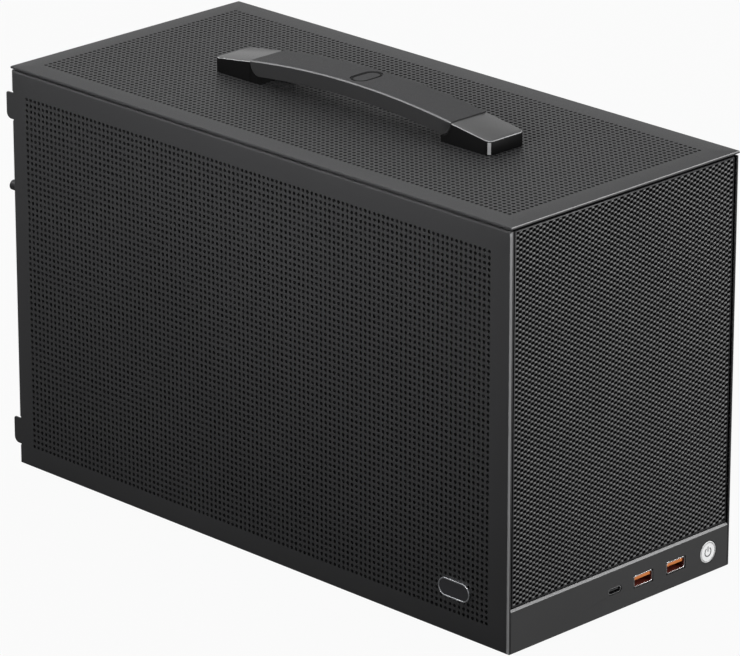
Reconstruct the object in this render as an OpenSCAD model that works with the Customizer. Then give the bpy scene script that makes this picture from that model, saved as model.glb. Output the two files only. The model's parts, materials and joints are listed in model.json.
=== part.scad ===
// Small upright computer case with a carry handle, split into two chambers by a centre wall.
// X runs to the right as seen from the front, Y runs to the rear, Z runs up.
// The origin is on the floor, under the middle of the body.

/* [Body] */
// Width of the body over both side panels
body_w = 155; // [150:1:175]
// Depth of the body, front face to rear flange
body_d = 340; // [336:1:380]
// Height of the body without feet and handle
body_h = 210; // [208:1:240]
// Height of the rubber feet
foot_h = 3; // [2:0.5:6]
// Diameter of the rubber feet
foot_dia = 15; // [10:1:20]
// Distance from the foot centres to the sides of the body
foot_inset = 20; // [16:1:30]

/* [Sheet metal] */
// Sheet of the outer panels
skin_t = 0.8; // [0.6:0.1:1.0]
// Sheet of the inner frame
frame_t = 1.2; // [1.0:0.1:1.5]
// Width of the folded hem round a side panel
hem_w = 5; // [4:0.5:8]
// Height of the folded side flanges of the floor and the top rails
flange_h = 14; // [12:1:18]
// Gap between the lid and the side panels
lid_gap = 0.5; // [0.3:0.1:1.0]
// Thickness of the lid sheet
lid_t = 1.2; // [1.0:0.1:1.5]

/* [Perforation] */
// Pitch of the perforation of the side panels and the lid
perf_pitch = 2.94; // [2.9:0.02:4]
// Diameter of one perforation
perf_dia = 1.8; // [1.4:0.1:2.0]
// Plain rim at the front of the side panels and the lid
rim_front = 12.7; // [10:0.1:20]
// Plain rim at the rear of the side panels and the lid
rim_rear = 10.5; // [9:0.1:20]
// Plain rim at the top of the side panels
rim_top = 12; // [9:0.1:20]
// Plain rim at the bottom of the side panels
rim_bottom = 10.9; // [9:0.1:20]
// Plain rim along both sides of the lid
lid_rim_side = 12; // [9:0.1:20]
// Spacing of the upright rows in the front mesh
mesh_pitch = 2.17; // [2.1:0.01:3]
// Width of the web between two upright rows of the front mesh
mesh_web = 0.8; // [0.6:0.1:1.0]

/* [Rear edge of the side panels] */
// How far the pull tabs stand out behind the body
tab_out = 5; // [3:0.5:8]
// Length of a pull tab
tab_l = 16; // [12:1:20]
// Height of the lower tab's lower end above the body's underside
tab_low = 9.6; // [9:0.2:20]
// Height of the upper tab's lower end above the body's underside
tab_high = 181.4; // [160:0.2:185]
// Width of the rear flange
rear_flange_w = 10.5; // [9:0.5:12]
// Height of the thumbscrews above the body's underside
thumb_z = 146; // [110:1:170]
// Diameter of the thumbscrew heads
thumb_dia = 6.4; // [6:0.2:8]
// Length of the thumbscrew heads
thumb_l = 5.6; // [4:0.2:8]

/* [Front strip] */
// Height of the strip with the ports
strip_h = 22; // [20:0.5:26]
// Depth of the strip and of the front mesh panel
front_depth = 10; // [9:0.5:14]
// Height of the port centres above the body's underside
port_z = 10.8; // [10:0.2:12]
// Distance from the small reversible port to the right side
port_c_in = 81.7; // [76:0.1:90]
// Distance from the first large port to the right side
port_a1_in = 61.7; // [58:0.1:64]
// Distance from the second large port to the right side
port_a2_in = 38.8; // [36:0.1:42]
// Distance from the power button to the right side
button_in = 15.8; // [14:0.1:18]
// Diameter of the power button
button_dia = 11; // [9:0.2:12]
// Outer diameter of the ring round the button
ring_dia = 12.7; // [12.4:0.1:14]
// Travel of the power button
button_travel = 0.8; // [0.4:0.1:1.0]

/* [Handle] */
// Width of the handle
handle_w = 24.5; // [20:0.5:30]
// Length of the soft grip
grip_l = 136; // [120:1:150]
// Length of an end cap
cap_l = 25.4; // [22:0.2:30]
// Height of the grip's top above the lid
grip_rise = 15.6; // [15:0.2:22]
// Thickness of the grip
grip_t = 7.8; // [7:0.2:9]
// Radius of the arch along the grip's top
grip_radius = 505; // [450:5:650]
// Thickness of the steel strap in the grip
strap_t = 1.8; // [1.5:0.1:2.2]
// Width of the steel strap
strap_w = 15; // [12:0.5:18]

/* [Inside] */
// Share of the spare width that the left chamber gets
left_share = 0.6; // [0.3:0.05:0.8]
// Height of the standoffs
standoff_h = 6.5; // [6:0.1:7]
// Height of the main board's lower edge above the body's underside
board_z = 19; // [17:0.5:22]
// Gap from the rear panel to the main board
board_gap = 1.8; // [1:0.1:3]
// Spacing of the expansion slots
slot_pitch = 20.32; // [20.32:0.01:20.33]
// Number of expansion slots
slot_count = 3; // [3]
// Depth of the recess that holds the slot covers
slot_recess = 12; // [11:0.5:14]
// Hole spacing of the front fan
fan_pitch = 105; // [105, 71.5]
// Room behind the front plate for the fan
fan_space = 30; // [27:1:34]
// Thickness of the power supply
psu_w = 63.5; // [63.5]
// Length of the power supply's screw face
psu_l = 125; // [125]
// Height of the power supply's lower end above the body's underside
psu_up = 62; // [50:1:70]
// Length of the channel for the riser socket
riser_l = 96; // [80:1:100]

/* [Hidden] */

$fn = 48;
steel = "#2b2c2e";
steel_light = "#3a3b3d";
plastic = "#232325";

half_w = body_w / 2;
half_d = body_d / 2;
port_c_x = half_w - port_c_in;
port_a1_x = half_w - port_a1_in;
port_a2_x = half_w - port_a2_in;
button_x = half_w - button_in;
base_z = foot_h;
top_z = foot_h + body_h;

// Inner frame: the side flanges stand just inside the side panels' hems.
hem_t = 2 * skin_t;
side_gap = 0.4;
frame_x = half_w - hem_t - side_gap;
inner_x = frame_x - frame_t;
frame_front = -half_d + front_depth;
frame_rear = half_d - skin_t;
deck_z = base_z + frame_t;
roof_z = top_z - lid_t;
rail_w = 12;
corner_w = 11;

// Side panels stop below the lid.
panel_top = roof_z - lid_gap;
panel_height = panel_top - base_z;

// Ball studs sit on the flanges of the rails and the floor.
stud_inset_y = 31;
stud_low = base_z + flange_h / 2 + 1;
stud_high = roof_z - flange_h / 2 - 1.5;
ball_dia = 5;
ball_clear = 0.3;
neck_dia = 3;
clip_dia = 9;
clip_l = 6.5;
ball_in = 5.4;

// Front mesh panel and port strip.
front_edge_gap = 0.4;
strip_top = base_z + strip_h;
mesh_bottom = strip_top + front_edge_gap;
mesh_top = roof_z - lid_gap;
mesh_half = frame_x - 0.1;
mesh_set_back = 0.4;
mesh_y = -half_d + mesh_set_back;
mesh_return = 3;
front_bar = 9;
wall_t = 2;
port_height = base_z + port_z;
usb_a_w = 13.1;
usb_a_h = 5.9;
usb_a_l = 14;
usb_c_w = 8.9;
usb_c_h = 3.2;
usb_c_l = 8;
shell_t = 0.35;
pcb_t = 1.6;
pcb_top = port_height - usb_a_h / 2;
pcb_front = -half_d + wall_t + 0.6;
pcb_rear = -half_d + 26;
pcb_left = port_c_x - 12;
pcb_right = half_w - 10.5;
port_face = -half_d + 0.3;
ring_l = 3.5;
button_l = 4;
ring_clear = 0.15;
stem_dia = 3.4;
switch_y = -half_d + 17;
switch_size = 6;
plunger_out = 2;

// Handle arch: the grip is a slice of a ring about an axis far below the lid.
arch_z = top_z + grip_rise - grip_radius;
grip_in = grip_radius - grip_t;
grip_half = grip_l / 2;
handle_half = grip_half + cap_l;
strap_half = grip_half + 14;
grip_end_r = 7.2;
cap_seam_z = 10.5;
cap_end_z = 7.1;
screw_in_y = grip_half + 8;
screw_out_y = grip_half + 20;
screw_dia = 4;
inlay_w = 18.6;
inlay_l = 10.6;
inlay_deep = 0.5;
bar_w = 26;
bar_t = 2;

// Chambers: each takes its own width, and the spare width is shared out.
psu_gap = 0.8;
psu_margin = 0.3;
psu_room = frame_t + psu_gap + psu_w + psu_margin;
slot_gap = 1;
slot_play = 0.6;
slot_room = 2 * frame_t + slot_gap + slot_count * slot_pitch + 2 * slot_play + frame_t;
spare_w = 2 * inner_x - psu_room - slot_room;
spine_x = -inner_x + left_share * spare_w + psu_room;

// Main board of 170 by 170 millimetres, its component side towards the left panel.
board_size = 170;
board_top = base_z + board_z + board_size;
board_rear = frame_rear - frame_t - board_gap;
board_x = spine_x - standoff_h;
board_t = 1.6;
// Each hole: distance from the board's rear edge and from its top edge.
board_holes = [[33.02, 6.35], [165.10, 6.35], [10.16, 163.83], [165.10, 163.83]];
standoff_hole = 2.8;
// Rear opening for the board's connectors.
io_w = 44.45;
io_h = 158.75;
io_x = board_x - board_t + 2.2;
io_top = board_top + 1;
spine_top = roof_z - 6.8;
spine_fold = 12;

// Expansion slots in the right chamber.
slot_left = spine_x + 2 * frame_t + slot_gap;
slot_first_x = slot_left + slot_play + slot_pitch / 2;
slot_right = slot_left + slot_count * slot_pitch + 2 * slot_play;
slot_low = base_z + 16;
slot_h = 112;
slot_open_w = 13.6;
slot_window_h = slot_h + 12;
slot_face_y = frame_rear - frame_t - slot_recess;
slot_cover_w = 18.4;
slot_cover_t = 0.9;

// Power inlet above the slots.
inlet_x = (slot_left + slot_right) / 2;
inlet_z = slot_low + slot_window_h + 27;
inlet_w = 27;
inlet_h = 19.8;
inlet_ear_w = 50;
inlet_ear_h = 24;
inlet_pitch = 40;
inlet_deep = 22;
inlet_body_half = 15;
inlet_ear_half = 4;
inlet_corner = 4;

// Front fan.
fan_dia = fan_pitch > 100 ? 116 : 78;
fan_z = (base_z + strip_h + roof_z) / 2;

// The tabs and thumbscrews stand out behind the body, so all of it moves forward by half of that.
rear_reach = max(tab_out, thumb_l);
module placed() {
    translate([0, -rear_reach / 2, 0]) children();
}

// A box between two corners.
module slab(x0, x1, y0, y1, z0, z1) {
    translate([x0, y0, z0]) cube([x1 - x0, y1 - y0, z1 - z0]);
}

// A cylinder along X, starting at x.
module rod_x(x, y, z, length, dia) {
    translate([x, y, z]) rotate([0, 90, 0]) cylinder(h = length, d = dia);
}

// A cylinder along Y, starting at y.
module rod_y(x, y, z, length, dia) {
    translate([x, y, z]) rotate([-90, 0, 0]) cylinder(h = length, d = dia);
}

// A cylinder along Z, starting at z.
module rod_z(x, y, z, length, dia) {
    translate([x, y, z]) cylinder(h = length, d = dia);
}

// A slot with round ends, seen along Z, with its length along X.
module round_slot(length, width, depth) {
    straight = (length - width) / 2;
    translate([-straight, -width / 2, 0]) cube([2 * straight, width, depth]);
    for (side = [-1, 1]) translate([side * straight, 0, 0]) cylinder(h = depth, d = width);
}

// Upright gaps, each one a column of perforations, seen from the side.
module upright_gaps(x0, x1, y0, y1, z0, z1, pitch, gap) {
    count = floor((y1 - y0 - gap) / pitch) + 1;
    first = (y0 + y1 - (count - 1) * pitch) / 2;
    for (i = [0 : count - 1])
        slab(x0, x1, first + i * pitch - gap / 2, first + i * pitch + gap / 2, z0, z1);
}

// Outline of a side panel seen from the side: Y across, Z up, with its two pull tabs.
module panel_outline() {
    relief = 1;
    difference() {
        union() {
            translate([-half_d, base_z]) square([body_d, panel_height]);
            for (low = [tab_low, tab_high])
                translate([half_d - 4, base_z + low])
                    tab_outline();
        }
        for (low = [tab_low, tab_high], end = [-relief, tab_l])
            translate([half_d - 2.4, base_z + low + end])
                square([3, relief]);
    }
}

// One pull tab, its lower outer corner well rounded.
module tab_outline() {
    tab_reach = tab_out + 4;
    low_r = 3;
    high_r = 1;
    difference() {
        square([tab_reach, tab_l]);
        translate([tab_reach - low_r, 0]) square([low_r, low_r]);
        translate([tab_reach - high_r, tab_l - high_r]) square([high_r, high_r]);
    }
    translate([tab_reach - low_r, low_r]) circle(r = low_r);
    translate([tab_reach - high_r, tab_l - high_r]) circle(r = high_r);
}

// The left panel: skin, closed hems on three edges, flange at the rear.
module side_panel() {
    difference() {
        union() {
            translate([-half_w, 0, 0])
                rotate([90, 0, 90])
                    linear_extrude(skin_t) panel_outline();
            slab(-half_w, -half_w + hem_t, -half_d, -half_d + hem_w, base_z, panel_top);
            slab(-half_w, -half_w + hem_t, -half_d, half_d - hem_w, base_z, base_z + hem_w);
            slab(-half_w, -half_w + hem_t, -half_d, half_d - hem_w, panel_top - hem_w, panel_top);
            difference() {
                slab(-half_w, -half_w + rear_flange_w, half_d - skin_t, half_d,
                    base_z + 3, panel_top - 3);
                for (low = [tab_low, tab_high])
                    slab(-half_w + skin_t, -half_w + rear_flange_w + 1, half_d - 2, half_d + 1,
                        base_z + low - 1, base_z + low + tab_l + 1);
                thumb_notch();
            }
        }
        upright_gaps(-half_w - 1, -half_w + skin_t + 0.01, -half_d + rim_front, half_d - rim_rear,
            base_z + rim_bottom, panel_top - rim_top, perf_pitch, perf_dia);
        badge_hole();
    }
}

// The flange's notch is open towards the middle, so the panel pulls off a loosened screw.
module thumb_notch() {
    notch = 4.2;
    z = base_z + thumb_z;
    rod_y(-thumb_x, half_d - 2, z, 4, notch);
    slab(-thumb_x, -half_w + rear_flange_w + 1, half_d - 2, half_d + 1, z - notch / 2, z + notch / 2);
}
thumb_x = half_w - 4.6;

// The badge's two pins pass through the panel; the field behind it stays plain.
badge_y = -half_d + 34;
badge_z = base_z + 23.2;
badge_w = 20.4;
badge_h = 9.6;
badge_t = 1.2;
badge_pin = 1.6;
badge_pin_pitch = 12;
module badge_hole() {
    for (side = [-1, 1])
        rod_x(-half_w - 1, badge_y + side * badge_pin_pitch / 2, badge_z, 4, badge_pin + 0.1);
}

module left_panel() {
    color(steel) {
        side_panel();
        difference() {
            slab(-half_w, -half_w + skin_t, badge_y - 6 - perf_pitch, badge_y + 6 + perf_pitch,
                badge_z - 4, badge_z + 4);
            badge_hole();
        }
    }
}

module right_panel() {
    color(steel) mirror([1, 0, 0]) side_panel();
}

// Plain oblong plate with a raised rim and two pins.
module side_badge() {
    rim = 0.9;
    color("#b9bbbe")
        translate([-half_w, badge_y, badge_z])
            rotate([90, 0, -90]) {
                difference() {
                    round_slot(badge_w, badge_h, badge_t);
                    translate([0, 0, badge_t - 0.4])
                        round_slot(badge_w - 2 * rim, badge_h - 2 * rim, 1);
                }
                for (side = [-1, 1])
                    translate([side * badge_pin_pitch / 2, 0, -skin_t - 0.6])
                        cylinder(h = skin_t + 0.6, d = badge_pin);
            }
}

// Riveted ball studs on the left panel's inside.
module ball_studs() {
    foot_plate = 0.8;
    for (y = [-half_d + stud_inset_y, half_d - stud_inset_y], z = [stud_low, stud_high]) {
        rod_x(-half_w + skin_t, y, z, foot_plate, neck_dia + 3);
        rod_x(-half_w + skin_t, y, z, ball_in + 1, neck_dia);
        translate([-half_w + skin_t + ball_in + 1, y, z]) sphere(d = ball_dia);
    }
}

module left_ball_studs() { color("silver") ball_studs(); }
module right_ball_studs() { color("silver") mirror([1, 0, 0]) ball_studs(); }

// Sockets behind the flanges; each has a collar in the flange's hole.
module clips() {
    for (y = [-half_d + stud_inset_y, half_d - stud_inset_y], z = [stud_low, stud_high])
        difference() {
            union() {
                rod_x(-inner_x, y, z, clip_l, clip_dia);
                rod_x(-frame_x, y, z, frame_t, neck_dia + 4.5);
            }
            rod_x(-frame_x - 1, y, z, clip_l + 3, ball_dia + 2 * ball_clear);
        }
}

module left_clips() { color("#eeeeea") clips(); }
module right_clips() { color("#eeeeea") mirror([1, 0, 0]) clips(); }

// Holes for the clips' collars in a side flange.
module clip_holes() {
    for (side = [-1, 1], y = [-half_d + stud_inset_y, half_d - stud_inset_y], z = [stud_low, stud_high])
        rod_x(side > 0 ? inner_x - 1 : -frame_x - 1, y, z, frame_t + 2, neck_dia + 4.6);
}

// Rivets that join the side flanges at the eight corners of the frame.
rivet_dia = 3.2;
rivet_low = base_z + flange_h - 4;
rivet_high = roof_z - flange_h + 4;
rivet_front = frame_front + corner_w / 2 + 0.6;
rivet_rear = frame_rear - corner_w / 2 - 0.6;
module at_rivets() {
    for (side = [-1, 1], y = [rivet_front, rivet_rear], z = [rivet_low, rivet_high])
        translate([side * frame_x, y, z]) rotate([0, -90 * side, 0]) children();
}
module rivet_holes() { at_rivets() translate([0, 0, -1]) cylinder(h = 2 * frame_t + 2, d = rivet_dia + 0.1); }

module frame_rivets() {
    color("silver")
        at_rivets() {
            cylinder(h = 2 * frame_t, d = rivet_dia);
            translate([0, 0, 2 * frame_t]) cylinder(h = 0.8, d = rivet_dia + 2);
        }
}

// Floor: a tray with a turned-up flange at each side and ventilation slots.
module bottom_panel() {
    vent_margin = 34;
    vent_pitch = 8;
    vent_w = 4.6;
    color(steel_light)
        difference() {
            union() {
                slab(-frame_x, frame_x, frame_front, frame_rear, base_z, deck_z);
                for (side = [-1, 1])
                    slab(side > 0 ? inner_x : -frame_x, side > 0 ? frame_x : -inner_x,
                        frame_front, frame_rear, base_z, base_z + flange_h);
            }
            vents = floor((body_d - 2 * vent_margin) / vent_pitch);
            for (i = [0 : vents], side = [-1, 1])
                translate([side * (frame_x / 2 + 1), -half_d + vent_margin + i * vent_pitch, base_z - 1])
                    round_slot(frame_x - 26, vent_w, frame_t + 2);
            clip_holes();
            rivet_holes();
            for (sx = [-1, 1], sy = [-1, 1])
                rod_z(sx * (half_w - foot_inset), sy * (half_d - foot_inset), base_z - 1, 4, 4.2);
        }
}

// Frame of fine mesh held under the floor by magnets.
module bottom_filter() {
    filter_t = 1;
    margin = 31;
    color("#1a1a1b")
        difference() {
            slab(-half_w + 8, half_w - 8, -half_d + margin, half_d - margin, base_z - filter_t, base_z);
            slab(-half_w + 14, half_w - 14, -half_d + margin + 6, half_d - margin - 6,
                base_z - filter_t - 1, base_z - filter_t + 0.6);
        }
}

module foot_at(sx, sy) {
    color("#18181a")
        translate([sx * (half_w - foot_inset), sy * (half_d - foot_inset), 0]) {
            rotate_extrude()
                polygon([[0, 0], [foot_dia / 2 - 1, 0], [foot_dia / 2, 1], [foot_dia / 2, foot_h],
                    [2, foot_h], [2, foot_h + frame_t], [2.6, foot_h + frame_t],
                    [1.6, foot_h + frame_t + 1.4], [0, foot_h + frame_t + 1.4]]);
        }
}
module foot_front_left() { foot_at(-1, -1); }
module foot_front_right() { foot_at(1, -1); }
module foot_rear_left() { foot_at(-1, 1); }
module foot_rear_right() { foot_at(1, 1); }

// A plate across the case with two corner flanges turned inwards.
module end_plate(y0, fold) {
    slab(-inner_x, inner_x, y0, y0 + frame_t, deck_z, roof_z - frame_t);
    slab(-frame_x + rail_w + 0.2, frame_x - rail_w - 0.2, y0, y0 + frame_t, deck_z, roof_z);
    f0 = fold > 0 ? y0 : y0 + frame_t - corner_w;
    for (side = [-1, 1])
        slab(side > 0 ? inner_x - frame_t : -inner_x, side > 0 ? inner_x : -inner_x + frame_t,
            f0, f0 + corner_w, deck_z, roof_z - frame_t);
}

// Front plate behind the mesh, with the fan opening and a window for the port board.
module front_frame() {
    color(steel_light)
        difference() {
            end_plate(frame_front, 1);
            rod_y(0, frame_front - 1, fan_z, 4, fan_dia);
            for (sx = [-1, 1], sz = [-1, 1])
                rod_y(sx * fan_pitch / 2, frame_front - 1, fan_z + sz * fan_pitch / 2, 4, 4.3);
            slab(pcb_left - 1, pcb_right + 0.6, frame_front - 1, frame_front + 3, deck_z + 2, port_height + 6);
            rivet_holes();
            front_clip_holes();
        }
}

// Rear plate with the connector opening, slot window, inlet opening and vents.
module rear_panel() {
    color(steel_light)
        difference() {
            end_plate(frame_rear - frame_t, -1);
            slab(io_x - io_w, io_x, frame_rear - 3, frame_rear + 1, io_top - io_h, io_top);
            slab(slot_left, slot_right, frame_rear - 3, frame_rear + 1, slot_low, slot_low + slot_window_h);
            slab(inlet_x - inlet_w / 2 - 0.3, inlet_x + inlet_w / 2 + 0.3, frame_rear - 3, frame_rear + 1,
                inlet_z - inlet_h / 2 - 0.3, inlet_z + inlet_h / 2 + 0.3);
            for (side = [-1, 1])
                rod_y(inlet_x + side * inlet_pitch / 2, frame_rear - 3, inlet_z, 5, 3.3);
            rear_vents();
            for (side = [-1, 1])
                rod_y(side * thumb_x, frame_rear - 3, base_z + thumb_z, 5, 3.1);
            rivet_holes();
        }
}

// Vent slots left of the connector opening.
module rear_vents() {
    vent_pitch = 6;
    vent_w = 3;
    left = -inner_x + 9;
    right = io_x - io_w - 3.5;
    count = floor((io_h - vent_w) / vent_pitch);
    for (i = [0 : count])
        translate([(left + right) / 2, frame_rear + 1, io_top - vent_w / 2 - i * vent_pitch])
            rotate([90, 0, 0])
                round_slot(right - left, vent_w, 4);
}

// Angle rail under each side of the lid.
module top_rail() {
    difference() {
        union() {
            slab(-frame_x, -inner_x, frame_front, frame_rear, roof_z - flange_h, roof_z);
            slab(-frame_x, -frame_x + rail_w, frame_front, frame_rear, roof_z - frame_t, roof_z);
        }
        clip_holes();
        rivet_holes();
    }
}
module top_rail_left() { color(steel_light) top_rail(); }
module top_rail_right() { color(steel_light) mirror([1, 0, 0]) top_rail(); }

// Bar across the rails that takes the handle's screws.
module crossbar(sy) {
    y = sy * (screw_in_y + screw_out_y) / 2;
    under = roof_z - frame_t;
    color(steel_light)
        difference() {
            union() {
                slab(-inner_x + 0.3, inner_x - 0.3, y - bar_w / 2, y + bar_w / 2, under - bar_t, under);
                slab(-frame_x + rail_w + 0.3, frame_x - rail_w - 0.3, y - bar_w / 2, y + bar_w / 2,
                    under - bar_t, roof_z);
            }
            for (dy = [screw_in_y, screw_out_y])
                rod_z(0, sy * dy, under - 4, 8, screw_dia + 0.5);
        }
}
module front_crossbar() { crossbar(-1); }
module rear_crossbar() { crossbar(1); }

// Lid: one perforated sheet; the gaps leave plain pads under the handle's ends.
module lid() {
    color(steel_light)
        difference() {
            slab(-half_w, half_w, -half_d, half_d, roof_z, top_z);
            difference() {
                upright_gaps(-half_w + lid_rim_side, half_w - lid_rim_side,
                    -half_d + rim_front, half_d - rim_rear, roof_z - 1, top_z + 1, perf_pitch, perf_dia);
                for (sy = [-1, 1])
                    slab(-handle_w / 2, handle_w / 2, sy > 0 ? grip_half : -handle_half,
                        sy > 0 ? handle_half : -grip_half, roof_z - 2, top_z + 2);
            }
            for (sy = [-1, 1], dy = [screw_in_y, screw_out_y])
                rod_z(0, sy * dy, roof_z - 1, 4, screw_dia + 0.5);
        }
}

// Centre wall between the two chambers, with its folds and openings.
module centre_wall() {
    y0 = psu_y;
    y1 = frame_rear - frame_t;
    color(steel_light)
        difference() {
            union() {
                slab(spine_x, spine_x + frame_t, y0, y1, deck_z, spine_top);
                slab(spine_x, spine_x + spine_fold, y0, board_rear - board_size + 20, deck_z, deck_z + frame_t);
                slab(spine_x, spine_x + spine_fold, y0, slot_face_y - 6, spine_top - frame_t, spine_top);
                slab(spine_x, spine_x + spine_fold, y0, y0 + frame_t, deck_z, spine_top);
            }
            translate([spine_x - 1, board_rear - 88, board_top - 78]) wall_opening(86, 92, 8);
            for (z = [base_z + 34, base_z + 108])
                translate([spine_x - 1, board_rear - board_size - 20, z]) wall_opening(24, 58, 10);
            translate([spine_x - 1, board_rear - board_size / 2, base_z + board_z - 7])
                wall_opening(board_size - 42, 10, 4);
            for (hole = board_holes)
                rod_x(spine_x - 1, board_rear - hole[0], board_top - hole[1], 4, 3.6);
            for (z = psu_wall_z)
                rod_x(spine_x - 1, psu_y + 7, z, 4, 3.3);
        }
}

// Opening with round corners, cut along X; length along Y, height along Z.
module wall_opening(length, height, r) {
    translate([0, -length / 2 + r, -height / 2]) cube([4, length - 2 * r, height]);
    translate([0, -length / 2, -height / 2 + r]) cube([4, length, height - 2 * r]);
    for (sy = [-1, 1], sz = [-1, 1])
        rod_x(0, sy * (length / 2 - r), sz * (height / 2 - r), 4, 2 * r);
}

// Six-sided spacers with a screw hole right through, each pressed into the centre wall.
module standoffs() {
    color("#c9a24b")
        for (hole = board_holes)
            translate([board_x, board_rear - hole[0], board_top - hole[1]])
                rotate([0, 90, 0])
                    difference() {
                        union() {
                            cylinder(h = standoff_h, d = 5.8, $fn = 6);
                            cylinder(h = standoff_h + frame_t, d = 3.5);
                        }
                        translate([0, 0, -1]) cylinder(h = standoff_h + frame_t + 2, d = standoff_hole);
                    }
}

// Bracket across the left chamber for the power supply's screw face.
psu_y = frame_front + fan_space;
psu_low = base_z + psu_up;
psu_high = psu_low + psu_l;
psu_edge = 6;
psu_screw_x = psu_w - 2 * psu_edge;
psu_screw_z = psu_l - 2 * psu_edge;
psu_mid_x = spine_x - frame_t - psu_gap - psu_w / 2;
psu_mid_z = (psu_low + psu_high) / 2;
psu_wall_z = [psu_low + 20, psu_high - 20];
module psu_bracket() {
    x0 = psu_mid_x - psu_w / 2 - psu_margin;
    x1 = spine_x;
    window_rim = 12.5;
    cover = 4;
    color(steel_light)
        difference() {
            union() {
                slab(x0, x1, psu_y, psu_y + frame_t, psu_low - cover, psu_high + cover);
                slab(x1 - frame_t, x1, psu_y, psu_y + 14, psu_low - cover, psu_high + cover);
                slab(x0, x0 + frame_t, psu_y - 6, psu_y + frame_t, psu_low - cover, psu_high + cover);
            }
            slab(psu_mid_x - psu_w / 2 + window_rim, psu_mid_x + psu_w / 2 - window_rim, psu_y - 1, psu_y + 3,
                psu_low + window_rim, psu_high - window_rim);
            for (sx = [-1, 1], sz = [-1, 1])
                rod_y(psu_mid_x + sx * psu_screw_x / 2, psu_y - 1, psu_mid_z + sz * psu_screw_z / 2, 4, 3.6);
            for (z = psu_wall_z)
                rod_x(x1 - 3, psu_y + 7, z, 4, 3.3);
        }
}

// Channel on the floor that carries the riser socket of the graphics card.
module riser_bracket() {
    x0 = spine_x + frame_t + 0.5;
    x1 = slot_first_x + 9;
    y1 = slot_face_y - 24;
    y0 = y1 - riser_l;
    z1 = slot_low - 2;
    color(steel_light)
        difference() {
            union() {
                slab(x0, x1, y0, y1, z1 - frame_t, z1);
                slab(x0, x0 + frame_t, y0, y1, deck_z, z1);
                slab(x1 - frame_t, x1, y0, y1, deck_z, z1);
            }
            for (y = [y0 + 8, (y0 + y1) / 2, y1 - 8])
                rod_z(slot_first_x, y, z1 - 3, 6, 3.2);
        }
}

// Recessed frame with the slot openings and the shelf for the cover screws.
module slot_frame() {
    y0 = slot_face_y;
    y1 = frame_rear - frame_t;
    low = slot_low - 3;
    high = slot_low + slot_window_h;
    color(steel_light)
        difference() {
            union() {
                slab(slot_left - frame_t, slot_right + frame_t, y0, y0 + frame_t, low, slot_low + slot_h);
                slab(slot_left - frame_t, slot_right + frame_t, y0, y1, slot_low + slot_h - frame_t, slot_low + slot_h);
                slab(slot_left - frame_t, slot_right + frame_t, y0, y1, low, low + frame_t);
                slab(slot_left - frame_t, slot_left, y0, y1, low, high);
                slab(slot_right, slot_right + frame_t, y0, y1, low, high);
            }
            for (i = [0 : slot_count - 1]) {
                x = slot_first_x + i * slot_pitch;
                slab(x - slot_open_w / 2, x + slot_open_w / 2, y0 - 1, y0 + 3, slot_low, slot_low + slot_h - 6);
                rod_z(x + 3, y0 + 7.5, slot_low + slot_h - 4, 6, 2.9);
            }
        }
}

// Blanking cover, its tongue below the opening and its tab over the shelf.
module slot_cover(i) {
    x = slot_first_x + i * slot_pitch;
    y1 = slot_face_y;
    y0 = y1 - slot_cover_t;
    tab_z = slot_low + slot_h;
    vent_pitch = 6.4;
    color("#303133")
        difference() {
            union() {
                slab(x - slot_cover_w / 2, x + slot_cover_w / 2, y0, y1, slot_low - 2, tab_z + slot_cover_t);
                slab(x - slot_cover_w / 2, x + slot_cover_w / 2, y0, y1 + 11, tab_z, tab_z + slot_cover_t);
                slab(x - 5, x + 5, y0, y1, slot_low - 6, slot_low - 2);
            }
            rod_z(x + 3, y1 + 7.5, tab_z - 2, 4, 4.4);
            slab(x + 3, x + slot_cover_w, y1 + 5.3, y1 + 9.7, tab_z - 2, tab_z + 3);
            for (k = [0 : 14])
                translate([x, y0 - 1, slot_low + 8 + k * vent_pitch])
                    rotate([-90, 0, 0])
                        round_slot(9, 3, 4);
        }
}
module slot_cover_1() { slot_cover(0); }
module slot_cover_2() { slot_cover(1); }
module slot_cover_3() { slot_cover(2); }

module slot_screws() {
    color("silver")
        for (i = [0 : slot_count - 1])
            translate([slot_first_x + i * slot_pitch + 3, slot_face_y + 7.5, slot_low + slot_h + slot_cover_t]) {
                cylinder(h = 2.2, d = 6.6);
                translate([0, 0, -5]) cylinder(h = 5, d = 2.8);
            }
}

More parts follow.
